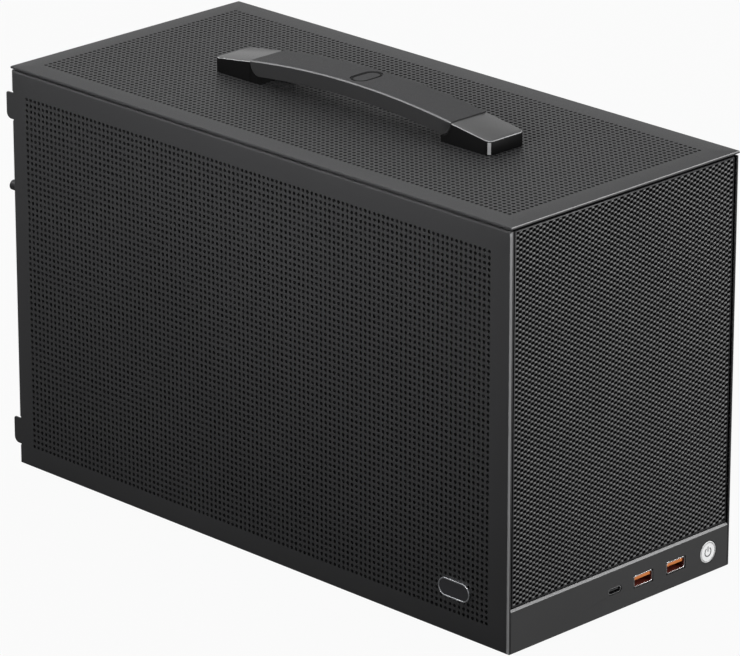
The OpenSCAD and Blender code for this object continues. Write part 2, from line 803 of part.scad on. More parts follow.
// Three-pole inlet: a body with a deep socket and a flange with two ears.
module power_inlet() {
    wall = 1.7;
    color(plastic)
        translate([inlet_x, frame_rear, inlet_z])
            rotate([-90, 0, 0])
                difference() {
                    union() {
                        translate([-inlet_w / 2, -inlet_h / 2, -inlet_deep]) cube([inlet_w, inlet_h, inlet_deep]);
                        linear_extrude(3)
                            polygon([[-inlet_ear_w / 2, inlet_ear_half], [-inlet_ear_w / 2, -inlet_ear_half],
                                [-inlet_body_half, -inlet_ear_h / 2], [inlet_body_half, -inlet_ear_h / 2],
                                [inlet_ear_w / 2, -inlet_ear_half], [inlet_ear_w / 2, inlet_ear_half],
                                [inlet_body_half, inlet_ear_h / 2], [-inlet_body_half, inlet_ear_h / 2]]);
                    }
                    translate([0, 0, -inlet_deep + 3])
                        linear_extrude(inlet_deep)
                            polygon([[-inlet_w / 2 + wall, inlet_h / 2 - wall],
                                [inlet_w / 2 - wall, inlet_h / 2 - wall],
                                [inlet_w / 2 - wall, -inlet_h / 2 + wall + inlet_corner],
                                [inlet_w / 2 - wall - inlet_corner, -inlet_h / 2 + wall],
                                [-inlet_w / 2 + wall + inlet_corner, -inlet_h / 2 + wall],
                                [-inlet_w / 2 + wall, -inlet_h / 2 + wall + inlet_corner]]);
                    for (side = [-1, 1])
                        translate([side * inlet_pitch / 2, 0, -1]) cylinder(h = 5, d = 3.3);
                    for (p = inlet_pins)
                        translate([p[0] - 1.05, p[1] - 2.05, -inlet_deep - 1]) cube([2.1, 4.1, inlet_deep]);
                }
}
inlet_pins = [[-7, 2], [7, 2], [0, -2]];

module power_inlet_pins() {
    color("silver")
        translate([inlet_x, frame_rear, inlet_z])
            rotate([-90, 0, 0])
                for (p = inlet_pins)
                    translate([p[0] - 1, p[1] - 2, -inlet_deep - 7]) cube([2, 4, inlet_deep + 4]);
}

module power_inlet_screws() {
    color("silver")
        for (side = [-1, 1]) {
            rod_y(inlet_x + side * inlet_pitch / 2, frame_rear + 3, inlet_z, 1.9, 5.6);
            rod_y(inlet_x + side * inlet_pitch / 2, frame_rear - 4, inlet_z, 7, 2.9);
        }
}

// Knurled-head screws that lock the side panels.
module thumbscrews() {
    color("#1c1c1e")
        for (side = [-1, 1]) {
            rod_y(side * thumb_x, half_d, base_z + thumb_z, thumb_l, thumb_dia);
            rod_y(side * thumb_x, frame_rear - frame_t, base_z + thumb_z, skin_t + frame_t, 3);
        }
}

// Front mesh: a sheet with narrow gaps and a short fold on all four edges.
module front_mesh() {
    edge = 1.4;
    color(steel)
        difference() {
            union() {
                slab(-mesh_half, mesh_half, mesh_y, mesh_y + skin_t, mesh_bottom, mesh_top);
                difference() {
                    slab(-mesh_half, mesh_half, mesh_y, mesh_y + mesh_return, mesh_bottom, mesh_top);
                    slab(-mesh_half + skin_t, mesh_half - skin_t, mesh_y + skin_t, mesh_y + mesh_return + 1,
                        mesh_bottom + skin_t, mesh_top - skin_t);
                }
            }
            mesh_gaps(edge);
        }
}

// Upright gaps of the front mesh, each one a column of mesh openings.
module mesh_gaps(edge) {
    span = 2 * (mesh_half - edge);
    gap = mesh_pitch - mesh_web;
    count = floor((span - gap) / mesh_pitch) + 1;
    first = -(count - 1) * mesh_pitch / 2;
    for (i = [0 : count - 1])
        slab(first + i * mesh_pitch - gap / 2, first + i * mesh_pitch + gap / 2, mesh_y - 1, mesh_y + skin_t,
            mesh_bottom + edge, mesh_top - edge);
}

// Moulded frame that the mesh is bonded to, with two cross ribs.
module front_mesh_frame() {
    x = mesh_half - skin_t;
    low = mesh_bottom + skin_t;
    high = mesh_top - skin_t;
    y0 = mesh_y + skin_t;
    y1 = frame_front - 0.3;
    color(plastic)
        difference() {
            slab(-x, x, y0, y1, low, high);
            for (k = [0 : 2]) {
                h = (high - low - 2 * front_bar - 2 * 4) / 3;
                z = low + front_bar + k * (h + 4);
                slab(-x + front_bar, x - front_bar, y0 - 1, y1 + 1, z, z + h);
            }
            for (sx = [-1, 1], z = front_stud_z)
                rod_y(sx * front_stud_x, y1 - 3, z, 4, neck_dia + 0.05);
        }
}

// Ball studs of the front panel and their sockets in the front plate.
front_stud_x = mesh_half - skin_t - front_bar / 2 - 1.6;
front_stud_z = [mesh_bottom + 18, mesh_top - 22];
module front_studs() {
    y1 = frame_front - 0.3;
    color("silver")
        for (sx = [-1, 1], z = front_stud_z) {
            rod_y(sx * front_stud_x, y1 - 3, z, 3 + frame_t + 3, neck_dia);
            translate([sx * front_stud_x, y1 + frame_t + 3.4, z]) sphere(d = ball_dia);
        }
}
module front_clip_holes() {
    for (sx = [-1, 1], z = front_stud_z)
        rod_y(sx * front_stud_x, frame_front - 1, z, frame_t + 2, neck_dia + 4.6);
}
module front_clips() {
    color("#eeeeea")
        for (sx = [-1, 1], z = front_stud_z)
            difference() {
                union() {
                    rod_y(sx * front_stud_x, frame_front + frame_t, z, clip_l, clip_dia - 0.6);
                    rod_y(sx * front_stud_x, frame_front, z, frame_t, neck_dia + 4.5);
                }
                rod_y(sx * front_stud_x, frame_front - 1, z, clip_l + 4, ball_dia + 2 * ball_clear);
            }
}

// Port strip: a hollow moulding with a chamfered top edge.
module front_strip() {
    chamfer = 1;
    y1 = frame_front;
    clear = 0.25;
    color(steel)
        difference() {
            translate([-mesh_half, 0, 0])
                rotate([90, 0, 90])
                    linear_extrude(2 * mesh_half)
                        polygon([[-half_d, base_z], [y1, base_z], [y1, strip_top],
                            [-half_d + chamfer, strip_top], [-half_d, strip_top - chamfer]]);
            slab(-mesh_half + wall_t, mesh_half - wall_t, -half_d + wall_t, y1 + 1, base_z + wall_t,
                strip_top - wall_t);
            for (x = [port_a1_x, port_a2_x])
                slab(x - usb_a_w / 2 - clear, x + usb_a_w / 2 + clear, -half_d - 1, -half_d + 4,
                    port_height - usb_a_h / 2 - clear, port_height + usb_a_h / 2 + clear);
            translate([port_c_x, -half_d - 1, port_height])
                rotate([-90, 0, 0])
                    round_slot(usb_c_w + 2 * clear, usb_c_h + 2 * clear, 4);
            rod_y(button_x, -half_d - 1, port_height, 5, ring_dia + 0.1);
        }
}

module button_ring() {
    color("#111112")
        difference() {
            rod_y(button_x, -half_d, port_height, ring_l, ring_dia);
            rod_y(button_x, -half_d - 1, port_height, ring_l + 2, button_dia + 2 * ring_clear);
        }
}

module power_button() {
    stem_y = -half_d + button_l;
    color("#f2f2f2") {
        rod_y(button_x, -half_d, port_height, button_l, button_dia);
        rod_y(button_x, stem_y, port_height, switch_y - plunger_out - stem_y, stem_dia);
    }
}

// Push switch lying on the port board behind the button.
module switch_body() {
    color("#1d1d1f")
        difference() {
            slab(button_x - switch_size / 2, button_x + switch_size / 2, switch_y, switch_y + 4.5,
                pcb_top, port_height + switch_size / 2);
            rod_y(button_x, switch_y - 1, port_height, 4, 3.1);
        }
}
module switch_plunger() {
    color("#d9d9d4") rod_y(button_x, switch_y - plunger_out, port_height, plunger_out + 1.5, 3);
}

// Board with the ports, held by two screws in posts on the front plate's window sill.
board_screws = [[pcb_left + 5, pcb_rear - 5], [pcb_right - 19, pcb_rear - 5]];
module io_board() {
    color("#1f2a22")
        difference() {
            slab(pcb_left, pcb_right, pcb_front, pcb_rear, pcb_top - pcb_t, pcb_top);
            slab(button_x - ring_dia / 2 - 0.8, button_x + ring_dia / 2 + 0.8, pcb_front - 1,
                -half_d + button_l + button_travel + 0.5, pcb_top - 3, pcb_top + 1);
            for (p = board_screws) rod_z(p[0], p[1], pcb_top - 3, 6, 3.2);
        }
}
module io_board_screws() {
    color("silver")
        for (p = board_screws) {
            rod_z(p[0], p[1], pcb_top, 1.8, 5.4);
            rod_z(p[0], p[1], deck_z, pcb_top - deck_z, 2.9);
            difference() {
                rod_z(p[0], p[1], deck_z, pcb_top - pcb_t - deck_z, 5.4);
                rod_z(p[0], p[1], deck_z - 1, 20, 2.85);
            }
        }
}

// Folded shell of a large port.
module usb_a_shell(x) {
    color("#d6d8da")
        difference() {
            slab(x - usb_a_w / 2, x + usb_a_w / 2, port_face, port_face + usb_a_l,
                port_height - usb_a_h / 2, port_height + usb_a_h / 2);
            slab(x - usb_a_w / 2 + shell_t, x + usb_a_w / 2 - shell_t, port_face - 1,
                port_face + usb_a_l - shell_t,
                port_height - usb_a_h / 2 + shell_t, port_height + usb_a_h / 2 - shell_t);
        }
}
module usb_a_port_1() { usb_a_shell(port_a1_x); }
module usb_a_port_2() { usb_a_shell(port_a2_x); }

// Coloured tongues in the upper half of the large ports, each on a block at the back.
module usb_a_tongues() {
    tongue_w = 11;
    tongue_t = 1.9;
    color("#e8761c")
        for (x = [port_a1_x, port_a2_x]) {
            slab(x - tongue_w / 2, x + tongue_w / 2, port_face + 0.8, port_face + usb_a_l - shell_t - 3,
                port_height + 0.35, port_height + 0.35 + tongue_t);
            slab(x - usb_a_w / 2 + shell_t, x + usb_a_w / 2 - shell_t, port_face + usb_a_l - shell_t - 3,
                port_face + usb_a_l - shell_t,
                port_height - usb_a_h / 2 + shell_t, port_height + usb_a_h / 2 - shell_t);
        }
}

// Small port: a flat oval tube on a seat that lifts it off the board.
module usb_c_port() {
    color("#c9cbcd") {
        translate([port_c_x, port_face, port_height])
            rotate([-90, 0, 0])
                difference() {
                    round_slot(usb_c_w, usb_c_h, usb_c_l);
                    translate([0, 0, -1])
                        round_slot(usb_c_w - 2 * shell_t, usb_c_h - 2 * shell_t, usb_c_l);
                }
        slab(port_c_x - 3, port_c_x + 3, pcb_front, port_face + usb_c_l, pcb_top,
            port_height - usb_c_h / 2 + 0.05);
    }
}
module usb_c_tongue() {
    color("#1a1a1b")
        slab(port_c_x - 3.3, port_c_x + 3.3, port_face + 0.9, port_face + usb_c_l - 1,
            port_height - 0.35, port_height + 0.35);
}

// An arched bar about the handle's axis, centred on the top of the arch.
module arch(r0, r1, half_angle) {
    translate([0, 0, arch_z])
        rotate([90, 0, 90])
            rotate([0, 0, 90 - half_angle])
                rotate_extrude(angle = 2 * half_angle, $fn = 720)
                    children();
}

// Section of the grip: radius across, width up, with bevelled upper edges.
module grip_section() {
    w = handle_w / 2;
    bevel = 1.7;
    low = 1.4;
    polygon([[grip_in, -w + low], [grip_in + low, -w], [grip_radius - bevel, -w],
        [grip_radius, -w + bevel], [grip_radius, w - bevel], [grip_radius - bevel, w],
        [grip_in + low, w], [grip_in, w - low]]);
}

module strap_section() {
    w = strap_w / 2;
    translate([grip_in, -w]) square([strap_t, 2 * w]);
}

// Soft grip: an arch with rounded lower ends, a channel for the strap and a shallow recess.
module handle_grip() {
    span = asin(grip_half / grip_radius) + 0.4;
    mid_y = grip_half - grip_end_r;
    end_z = top_z + cap_seam_z - 0.1;
    color("#333436")
        difference() {
            intersection() {
                arch(grip_in, grip_radius, span) grip_section();
                union() {
                    slab(-handle_w, handle_w, -mid_y, mid_y, top_z, top_z + 40);
                    for (sy = [-1, 1]) rod_x(-handle_w, sy * mid_y, end_z, 2 * handle_w, 2 * grip_end_r);
                }
            }
            arch(grip_in, grip_radius, span + 2)
                translate([grip_in - 1, -strap_w / 2 - 0.1]) square([strap_t + 1.1, strap_w + 0.2]);
            translate([0, 0, top_z + grip_rise - inlay_deep]) round_slot(inlay_w, inlay_l, 3);
        }
}

// Steel strap along the grip's underside; its ends lie under the caps.
module handle_strap() {
    span = asin(strap_half / grip_in);
    color("#1b1b1c")
        difference() {
            arch(grip_in, grip_in + strap_t, span) strap_section();
            for (sy = [-1, 1]) rod_z(0, sy * screw_in_y, top_z - 1, 12, screw_dia + 0.05);
        }
}

// Plain oval inlay in the recess on the grip.
module handle_inlay() {
    color("#2a2b2d")
        translate([0, 0, top_z + grip_rise - inlay_deep])
            round_slot(inlay_w - 0.6, inlay_l - 0.6, inlay_deep - 0.1);
}

// End cap: sloping top, bevelled end, pocket for the strap's end and a screw hole.
module handle_cap(sy) {
    w = handle_w / 2;
    end = handle_half;
    start = grip_half + 0.15;
    end_bevel = 1.4;
    corner = 3.5;
    color("#161617")
        mirror([0, sy < 0 ? 1 : 0, 0])
            difference() {
                intersection() {
                    translate([-w, 0, 0])
                        rotate([90, 0, 90])
                            linear_extrude(2 * w)
                                polygon([[start, top_z], [end - end_bevel / 2, top_z], [end, top_z + end_bevel],
                                    [end, top_z + cap_end_z - end_bevel],
                                    [end - end_bevel, top_z + cap_end_z], [start, top_z + cap_seam_z]]);
                    translate([0, 0, top_z - 1])
                        linear_extrude(20)
                            polygon([[-w, start], [w, start], [w, end - corner], [w - corner, end],
                                [-w + corner, end], [-w, end - corner]]);
                    translate([0, start, top_z + cap_seam_z])
                        rotate([-90 - atan((cap_seam_z - cap_end_z) / cap_l), 0, 0])
                            linear_extrude(3 * cap_l, center = true)
                                polygon([[-w, 1.5], [-w + 1.5, 0], [w - 1.5, 0], [w, 1.5], [w, 20], [-w, 20]]);
                }
                translate([-strap_w / 2 - 0.4, start - 1, top_z - 1])
                    cube([strap_w + 0.8, strap_half - start + 2, 7]);
                rod_z(0, screw_out_y, top_z - 1, 6, screw_dia + 0.05);
            }
}
module handle_cap_front() { handle_cap(-1); }
module handle_cap_rear() { handle_cap(1); }

// Screws from under the crossbars through the lid into the strap and the caps.
module handle_screws() {
    head_z = roof_z - frame_t - bar_t;
    color("silver")
        for (sy = [-1, 1], dy = [screw_in_y, screw_out_y]) {
            rod_z(0, sy * dy, head_z - 2.4, 2.4, 7);
            rod_z(0, sy * dy, head_z, top_z + 4.8 - head_z, screw_dia);
        }
}

placed() bottom_panel();
placed() rear_panel();
placed() front_frame();
placed() top_rail_left();
placed() top_rail_right();
placed() front_crossbar();
placed() rear_crossbar();
placed() centre_wall();
placed() standoffs();
placed() lid();
placed() left_panel();
placed() right_panel();
placed() left_ball_studs();
placed() right_ball_studs();
placed() left_clips();
placed() right_clips();
placed() side_badge();
placed() front_mesh();
placed() front_mesh_frame();
placed() front_studs();
placed() front_clips();
placed() front_strip();
placed() power_button();
placed() button_ring();
placed() switch_body();
placed() switch_plunger();
placed() io_board();
placed() io_board_screws();
placed() usb_a_port_1();
placed() usb_a_port_2();
placed() usb_a_tongues();
placed() usb_c_port();
placed() usb_c_tongue();
placed() handle_grip();
placed() handle_strap();
placed() handle_cap_front();
placed() handle_cap_rear();
placed() handle_inlay();
placed() handle_screws();
placed() slot_frame();
placed() slot_cover_1();
placed() slot_cover_2();
placed() slot_cover_3();
placed() slot_screws();
placed() power_inlet();
placed() power_inlet_pins();
placed() power_inlet_screws();
placed() psu_bracket();
placed() riser_bracket();
placed() foot_front_left();
placed() foot_front_right();
placed() foot_rear_left();
placed() foot_rear_right();
placed() bottom_filter();
placed() thumbscrews();
placed() frame_rivets();
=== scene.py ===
"""A small upright computer case: perforated steel sides and lid, mesh front over a port strip, carry handle."""
import json
import math

import bpy
from mathutils import Matrix, Vector


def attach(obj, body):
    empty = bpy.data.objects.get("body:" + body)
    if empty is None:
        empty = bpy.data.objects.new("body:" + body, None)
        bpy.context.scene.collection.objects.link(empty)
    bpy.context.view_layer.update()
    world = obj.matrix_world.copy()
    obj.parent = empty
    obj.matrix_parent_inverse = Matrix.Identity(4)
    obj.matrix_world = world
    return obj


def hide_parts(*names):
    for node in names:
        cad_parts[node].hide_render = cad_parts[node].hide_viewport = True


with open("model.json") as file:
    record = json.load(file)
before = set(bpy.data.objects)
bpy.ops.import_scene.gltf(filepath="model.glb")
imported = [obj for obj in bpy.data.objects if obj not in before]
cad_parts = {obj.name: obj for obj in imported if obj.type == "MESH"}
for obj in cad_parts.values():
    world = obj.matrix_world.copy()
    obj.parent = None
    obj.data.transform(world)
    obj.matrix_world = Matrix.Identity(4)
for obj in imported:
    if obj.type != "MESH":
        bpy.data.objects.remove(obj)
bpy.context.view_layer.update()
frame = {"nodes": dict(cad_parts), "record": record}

MM = 0.001
BODY_Y = -2.8 * MM          # the middle of the body: the tabs and screws reach back past it
HALF_W, HALF_D = 77.5 * MM, 170 * MM
BASE_Z, TOP_Z = 3 * MM, 213 * MM
PANEL_TOP = 210.9 * MM
SKIN = 0.8 * MM
BEND = 1.5 * MM
HOLE_D, LID_HOLE_D = 1.9 * MM, 1.95 * MM
NEAR = 5e-6                 # how close a point counts as lying on a plane
ON_LINE = 4e-6              # the same for the edge of a sheet
SAME = 1e-6                 # the same for two ends of an edge
WELD = 2e-6
NODE_RISE = 0.32 * MM       # how far the front mesh stands proud where its strands meet
MESH_HALF_U, MESH_HALF_V = 2.172 * MM, 1.23925 * MM     # half of a mesh opening's pitch across and up
MESH_COLUMNS, MESH_ROWS = 36, 77
MESH_WIDE, MESH_LOW, MESH_HIGH = 74.5 * MM, 25.7 * MM, 210.5 * MM
MESH_U0 = -(MESH_COLUMNS - 0.5) * MESH_HALF_U
MESH_V0 = (MESH_LOW + MESH_HIGH) / 2 - (MESH_ROWS - 0.5) * MESH_HALF_V


# ---- small hand tools -------------------------------------------------------------------------------------

def only(piece):
    """Selects one piece and makes it the active one."""
    bpy.ops.object.select_all(action="DESELECT")
    piece.select_set(True)
    bpy.context.view_layer.objects.active = piece
    return piece


def new_piece(name):
    piece = bpy.context.object
    piece.name = name
    piece.data.name = name
    return piece


def edit():
    bpy.ops.object.mode_set(mode="EDIT")


def done():
    bpy.ops.object.mode_set(mode="OBJECT")


def take_all():
    bpy.ops.mesh.select_all(action="SELECT")


def choose(piece, kind, test):
    """Selects the vertices, edges or faces whose middle passes the test, and stays in edit mode."""
    edit()
    bpy.ops.mesh.select_mode(type=kind)
    bpy.ops.mesh.select_all(action="DESELECT")
    done()
    mesh = piece.data
    if kind == "VERT":
        for v in mesh.vertices:
            v.select = test(v.co)
    elif kind == "EDGE":
        for e in mesh.edges:
            a, b = (mesh.vertices[i].co for i in e.vertices)
            e.select = test(a, b)
    else:
        for p in mesh.polygons:
            p.select = test(p.center, p.normal)
    edit()


def settle(piece):
    """Writes the piece's place into its mesh."""
    only(piece)
    bpy.ops.object.transform_apply(location=True, rotation=True, scale=True)
    return piece


def box_piece(name, low, high):
    middle = [(a + b) / 2 for a, b in zip(low, high)]
    size = [b - a for a, b in zip(low, high)]
    bpy.ops.object.select_all(action="DESELECT")
    bpy.ops.mesh.primitive_cube_add(size=1, location=middle, scale=size)
    return settle(new_piece(name))


def rod_piece(name, start, along, radius, sides=32):
    """A cylinder that starts at a point and runs along a vector."""
    along = Vector(along)
    turn = Vector((0, 0, 1)).rotation_difference(along).to_euler()
    bpy.ops.object.select_all(action="DESELECT")
    bpy.ops.mesh.primitive_cylinder_add(
        vertices=sides, radius=radius, depth=along.length, location=Vector(start) + along / 2, rotation=turn)
    return settle(new_piece(name))


def apply_modifier(piece, kind, **settings):
    only(piece)
    bpy.ops.object.modifier_add(type=kind)
    modifier = piece.modifiers[-1]
    for key, value in settings.items():
        setattr(modifier, key, value)
    bpy.ops.object.modifier_apply(modifier=modifier.name)


def repeat(piece, count, step):
    """Lines up copies of a piece and welds them together."""
    apply_modifier(piece, "ARRAY", count=count, use_relative_offset=False, use_constant_offset=True,
                   constant_offset_displace=step, use_merge_vertices=True, merge_threshold=WELD)


def give_wall(piece, thickness):
    apply_modifier(piece, "SOLIDIFY", thickness=thickness, offset=-1, use_even_offset=True)


def join(name, pieces):
    bpy.ops.object.select_all(action="DESELECT")
    for p in pieces:
        p.select_set(True)
    bpy.context.view_layer.objects.active = pieces[0]
    bpy.ops.object.join()
    return new_piece(name)


def copy_piece(piece, name):
    only(piece)
    bpy.ops.object.duplicate(linked=False)
    return new_piece(name)


def soften(piece, degrees=35):
    only(piece)
    bpy.ops.object.shade_smooth_by_angle(angle=math.radians(degrees))


def turn_outwards(piece):
    only(piece)
    edit()
    take_all()
    bpy.ops.mesh.remove_doubles(threshold=SAME)
    bpy.ops.mesh.normals_make_consistent(inside=False)
    done()


def flip(piece):
    only(piece)
    edit()
    take_all()
    bpy.ops.mesh.flip_normals()
    done()


def paint(piece, *finishes):
    """Gives a piece the finishes that its faces choose from by number."""
    piece.data.materials.clear()
    for finish in finishes:
        piece.data.materials.append(finish)


def fit_piece(piece, body, slot, finish, *nodes):
    """Gives a piece its finish and its body, and hides the nodes that it stands for; the slot is not used."""
    if piece.data.materials:
        piece.data.materials[0] = finish
    else:
        piece.data.materials.append(finish)
    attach(piece, body)
    if nodes:
        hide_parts(*nodes)
    return piece


# ---- finishes ---------------------------------------------------------------------------------------------

def finish_nodes(name):
    finish = bpy.data.materials.new(name)
    finish.use_nodes = True
    tree = finish.node_tree
    shader = tree.nodes["Principled BSDF"]
    place = tree.nodes.new("ShaderNodeTexCoord")
    return finish, tree, shader, place


def maths(tree, operation, *values):
    """A math node; each value is a number or another node's output."""
    node = tree.nodes.new("ShaderNodeMath")
    node.operation = operation
    for socket, value in zip(node.inputs, values):
        if isinstance(value, (int, float)):
            socket.default_value = value
        else:
            tree.links.new(value, socket)
    return node.outputs["Value"]


def mix_shaders(tree, share, first, second):
    mix = tree.nodes.new("ShaderNodeMixShader")
    if isinstance(share, float):
        mix.inputs["Fac"].default_value = share
    else:
        tree.links.new(share, mix.inputs["Fac"])
    tree.links.new(first, mix.inputs[1])
    tree.links.new(second, mix.inputs[2])
    return mix.outputs["Shader"]


def give_bump(tree, shader, source, strength):
    height = tree.nodes.new("ShaderNodeBump")
    height.inputs["Strength"].default_value = strength
    height.inputs["Distance"].default_value = 0.1 * MM
    tree.links.new(source, height.inputs["Height"])
    tree.links.new(height.outputs["Normal"], shader.inputs["Normal"])


def noise_at(tree, place, scale, detail=3.0, stretch=None):
    noise = tree.nodes.new("ShaderNodeTexNoise")
    noise.inputs["Scale"].default_value = scale
    noise.inputs["Detail"].default_value = detail
    if stretch:
        mapping = tree.nodes.new("ShaderNodeMapping")
        mapping.inputs["Scale"].default_value = stretch
        tree.links.new(place.outputs["Object"], mapping.inputs["Vector"])
        tree.links.new(mapping.outputs["Vector"], noise.inputs["Vector"])
    else:
        tree.links.new(place.outputs["Object"], noise.inputs["Vector"])
    return noise


def ramp_of(tree, source, stops):
    ramp = tree.nodes.new("ShaderNodeValToRGB")
    ramp.color_ramp.elements[0].position = stops[0][0]
    ramp.color_ramp.elements[0].color = (*stops[0][1], 1)
    ramp.color_ramp.elements[1].position = stops[-1][0]
    ramp.color_ramp.elements[1].color = (*stops[-1][1], 1)
    for spot, colour in stops[1:-1]:
        ramp.color_ramp.elements.new(spot).color = (*colour, 1)
    tree.links.new(source, ramp.inputs["Fac"])
    return ramp


def spread(colour, share):
    return tuple(c * (1 - share) for c in colour), tuple(min(1, c * (1 + share)) for c in colour)


def grained(name, colour, rough, grain, bump, share=0.12, metallic=0.0, level=0.5, coat=0.0, blotch=9.0):
    """Paint, plastic or metal with a fine grain, a slow change of tone and an uneven gloss."""
    finish, tree, shader, place = finish_nodes(name)
    dark, light = spread(colour, share)
    slow = noise_at(tree, place, blotch, 2.0)
    tone = ramp_of(tree, slow.outputs["Fac"], [(0.3, dark), (0.7, light)])
    tree.links.new(tone.outputs["Color"], shader.inputs["Base Color"])
    fine = noise_at(tree, place, grain, 2.0)
    gloss = ramp_of(tree, fine.outputs["Fac"], [(0.3, (rough * 0.85,) * 3), (0.7, (min(1, rough * 1.15),) * 3)])
    tree.links.new(gloss.outputs["Color"], shader.inputs["Roughness"])
    give_bump(tree, shader, fine.outputs["Fac"], bump)
    shader.inputs["Metallic"].default_value = metallic
    shader.inputs["Specular IOR Level"].default_value = level
    if coat:
        shader.inputs["Coat Weight"].default_value = coat
        shader.inputs["Coat Roughness"].default_value = 0.24
    return finish


def mesh_wave(tree, source, middle, pitch):
    """A wave along one direction that is lowest at the openings."""
    shift = maths(tree, "SUBTRACT", source, middle)
    return maths(tree, "COSINE", maths(tree, "MULTIPLY", shift, math.tau / pitch))


def lit_node_and_shaded_strand_paint(name, deep, proud, rough):
    """Paint on the front mesh: a painted highlight where strands meet, painted shade between."""
    finish = grained(name, proud, rough, 2600, 0.2)
    tree = finish.node_tree
    shader = tree.nodes["Principled BSDF"]
    place = tree.nodes["Texture Coordinate"]
    split = tree.nodes.new("ShaderNodeSeparateXYZ")
    tree.links.new(place.outputs["Object"], split.inputs["Vector"])
    across = mesh_wave(tree, split.outputs["X"], MESH_U0, 2 * MESH_HALF_U)
    upright = mesh_wave(tree, split.outputs["Z"], MESH_V0, 2 * MESH_HALF_V)
    both = maths(tree, "MULTIPLY", across, upright)
    # how near a point lies to a node: painted shade at the openings, painted highlight at the nodes
    share = tree.nodes.new("ShaderNodeMapRange")
    share.inputs["From Min"].default_value = 0.1
    share.inputs["From Max"].default_value = -0.75
    tree.links.new(both, share.inputs["Value"])
    middle = tuple((a * 0.7 + b * 0.3) for a, b in zip(deep, proud))
    tone = ramp_of(tree, share.outputs["Result"], [(0.0, deep), (0.4, middle), (1.0, proud)])
    tree.links.new(tone.outputs["Color"], shader.inputs["Base Color"])
    return finish


def woven_net(name, colour, pitch):
    """Fine near-black net of two crossing waves of threads, as painted shade behind the holes."""
    finish, tree, shader, place = finish_nodes(name)
    waves = []
    for direction in ("Y", "Z"):
        wave = tree.nodes.new("ShaderNodeTexWave")
        wave.bands_direction = direction
        wave.inputs["Scale"].default_value = math.tau / 20 / pitch
        tree.links.new(place.outputs["Object"], wave.inputs["Vector"])
        waves.append(wave.outputs["Fac"])
    over = maths(tree, "MAXIMUM", *waves)
    dark, light = spread(colour, 0.6)
    tone = ramp_of(tree, over, [(0.4, dark), (1.0, light)])
    tree.links.new(tone.outputs["Color"], shader.inputs["Base Color"])
    give_bump(tree, shader, over, 0.5)
    shader.inputs["Roughness"].default_value = 0.9
    shader.inputs["Specular IOR Level"].default_value = 0.02
    return finish


powder_coat = grained("powder_coat", (0.027, 0.027, 0.028), 0.44, 2600, 0.3, share=0.07, level=0.27)
# painted shade: a darker copy of the paint for the walls inside the lid's holes
hole_painted_shade = grained("hole_painted_shade", (0.012, 0.012, 0.0125), 0.6, 2600, 0.1, level=0.15)
# painted highlight: a lighter, glossier copy of the paint for bends and edges that catch the light
painted_highlight_edge = grained("painted_highlight_edge", (0.24, 0.24, 0.243), 0.34, 2600, 0.1, share=0.08)
# painted highlight on the mesh's nodes and painted shade on its strands
node_light_and_shade = lit_node_and_shaded_strand_paint("node_light_and_shade", (0.010, 0.010, 0.0105), (0.17, 0.17, 0.172), 0.4)
frame_paint = grained("frame_paint", (0.020, 0.020, 0.022), 0.5, 1800, 0.3)
strip_paint = grained("strip_paint", (0.024, 0.024, 0.0245), 0.5, 3200, 0.35, share=0.06, level=0.35)
grip_rubber = grained("grip_rubber", (0.027, 0.027, 0.028), 0.6, 2200, 0.4, share=0.06, level=0.2)
# painted highlight: a lighter copy of the grip rubber for its upper edges
grip_painted_highlight = grained("grip_painted_highlight", (0.11, 0.11, 0.112), 0.45, 2200, 0.1, share=0.06)
# painted shade: a darker copy of the grip rubber for its flanks
grip_painted_shade = grained("grip_painted_shade", (0.016, 0.016, 0.0165), 0.6, 2200, 0.4, share=0.06, level=0.15)
# painted shade: near-black for the caps' sides, the foot under the grip and the inlay's rim
near_black_painted_shade = grained("near_black_painted_shade", (0.0025, 0.0025, 0.0026), 0.5, 3000, 0.05, share=0.05, level=0.06)
cap_plastic = grained("cap_plastic", (0.028, 0.028, 0.0285), 0.32, 3000, 0.02, share=0.05, level=0.2, coat=0.6)
moulded_black = grained("moulded_black", (0.012, 0.012, 0.013), 0.5, 1600, 0.4)
foot_rubber = grained("foot_rubber", (0.010, 0.010, 0.010), 0.8, 1400, 0.5)
zinc = grained("zinc", (0.52, 0.52, 0.53), 0.34, 900, 0.25, metallic=1.0)
port_nickel = grained("port_nickel", (0.62, 0.62, 0.63), 0.24, 1200, 0.12, metallic=1.0)
turned_brass = grained("turned_brass", (0.70, 0.52, 0.24), 0.3, 900, 0.2, metallic=1.0)
nylon = grained("nylon", (0.62, 0.62, 0.58), 0.45, 700, 0.2)
button_white = grained("button_white", (0.90, 0.90, 0.90), 0.32, 500, 0.06, share=0.03)
mark_grey = grained("mark_grey", (0.05, 0.05, 0.055), 0.5, 900, 0.1)
tongue_orange = grained("tongue_orange", (0.64, 0.20, 0.045), 0.4, 900, 0.15, share=0.08)
# painted shade: dark red for the inside of the large ports
port_inside_painted_shade = grained("port_inside_painted_shade", (0.10, 0.014, 0.008), 0.5, 900, 0.15)
board_green = grained("board_green", (0.012, 0.035, 0.02), 0.42, 700, 0.3)
badge_rim = grained("badge_rim", (0.50, 0.51, 0.53), 0.2, 1500, 0.1, metallic=1.0)
badge_field = grained("badge_field", (0.06, 0.06, 0.065), 0.34, 1500, 0.2, metallic=0.7)
# painted shade: a near-black net that stands in for the dark inside behind the holes
shade_net = woven_net("shade_net", (0.003, 0.003, 0.003), 0.00045)
screw_black = grained("screw_black", (0.02, 0.02, 0.022), 0.4, 1200, 0.3, metallic=0.4)


# ---- perforated sheets ------------------------------------------------------------------------------------

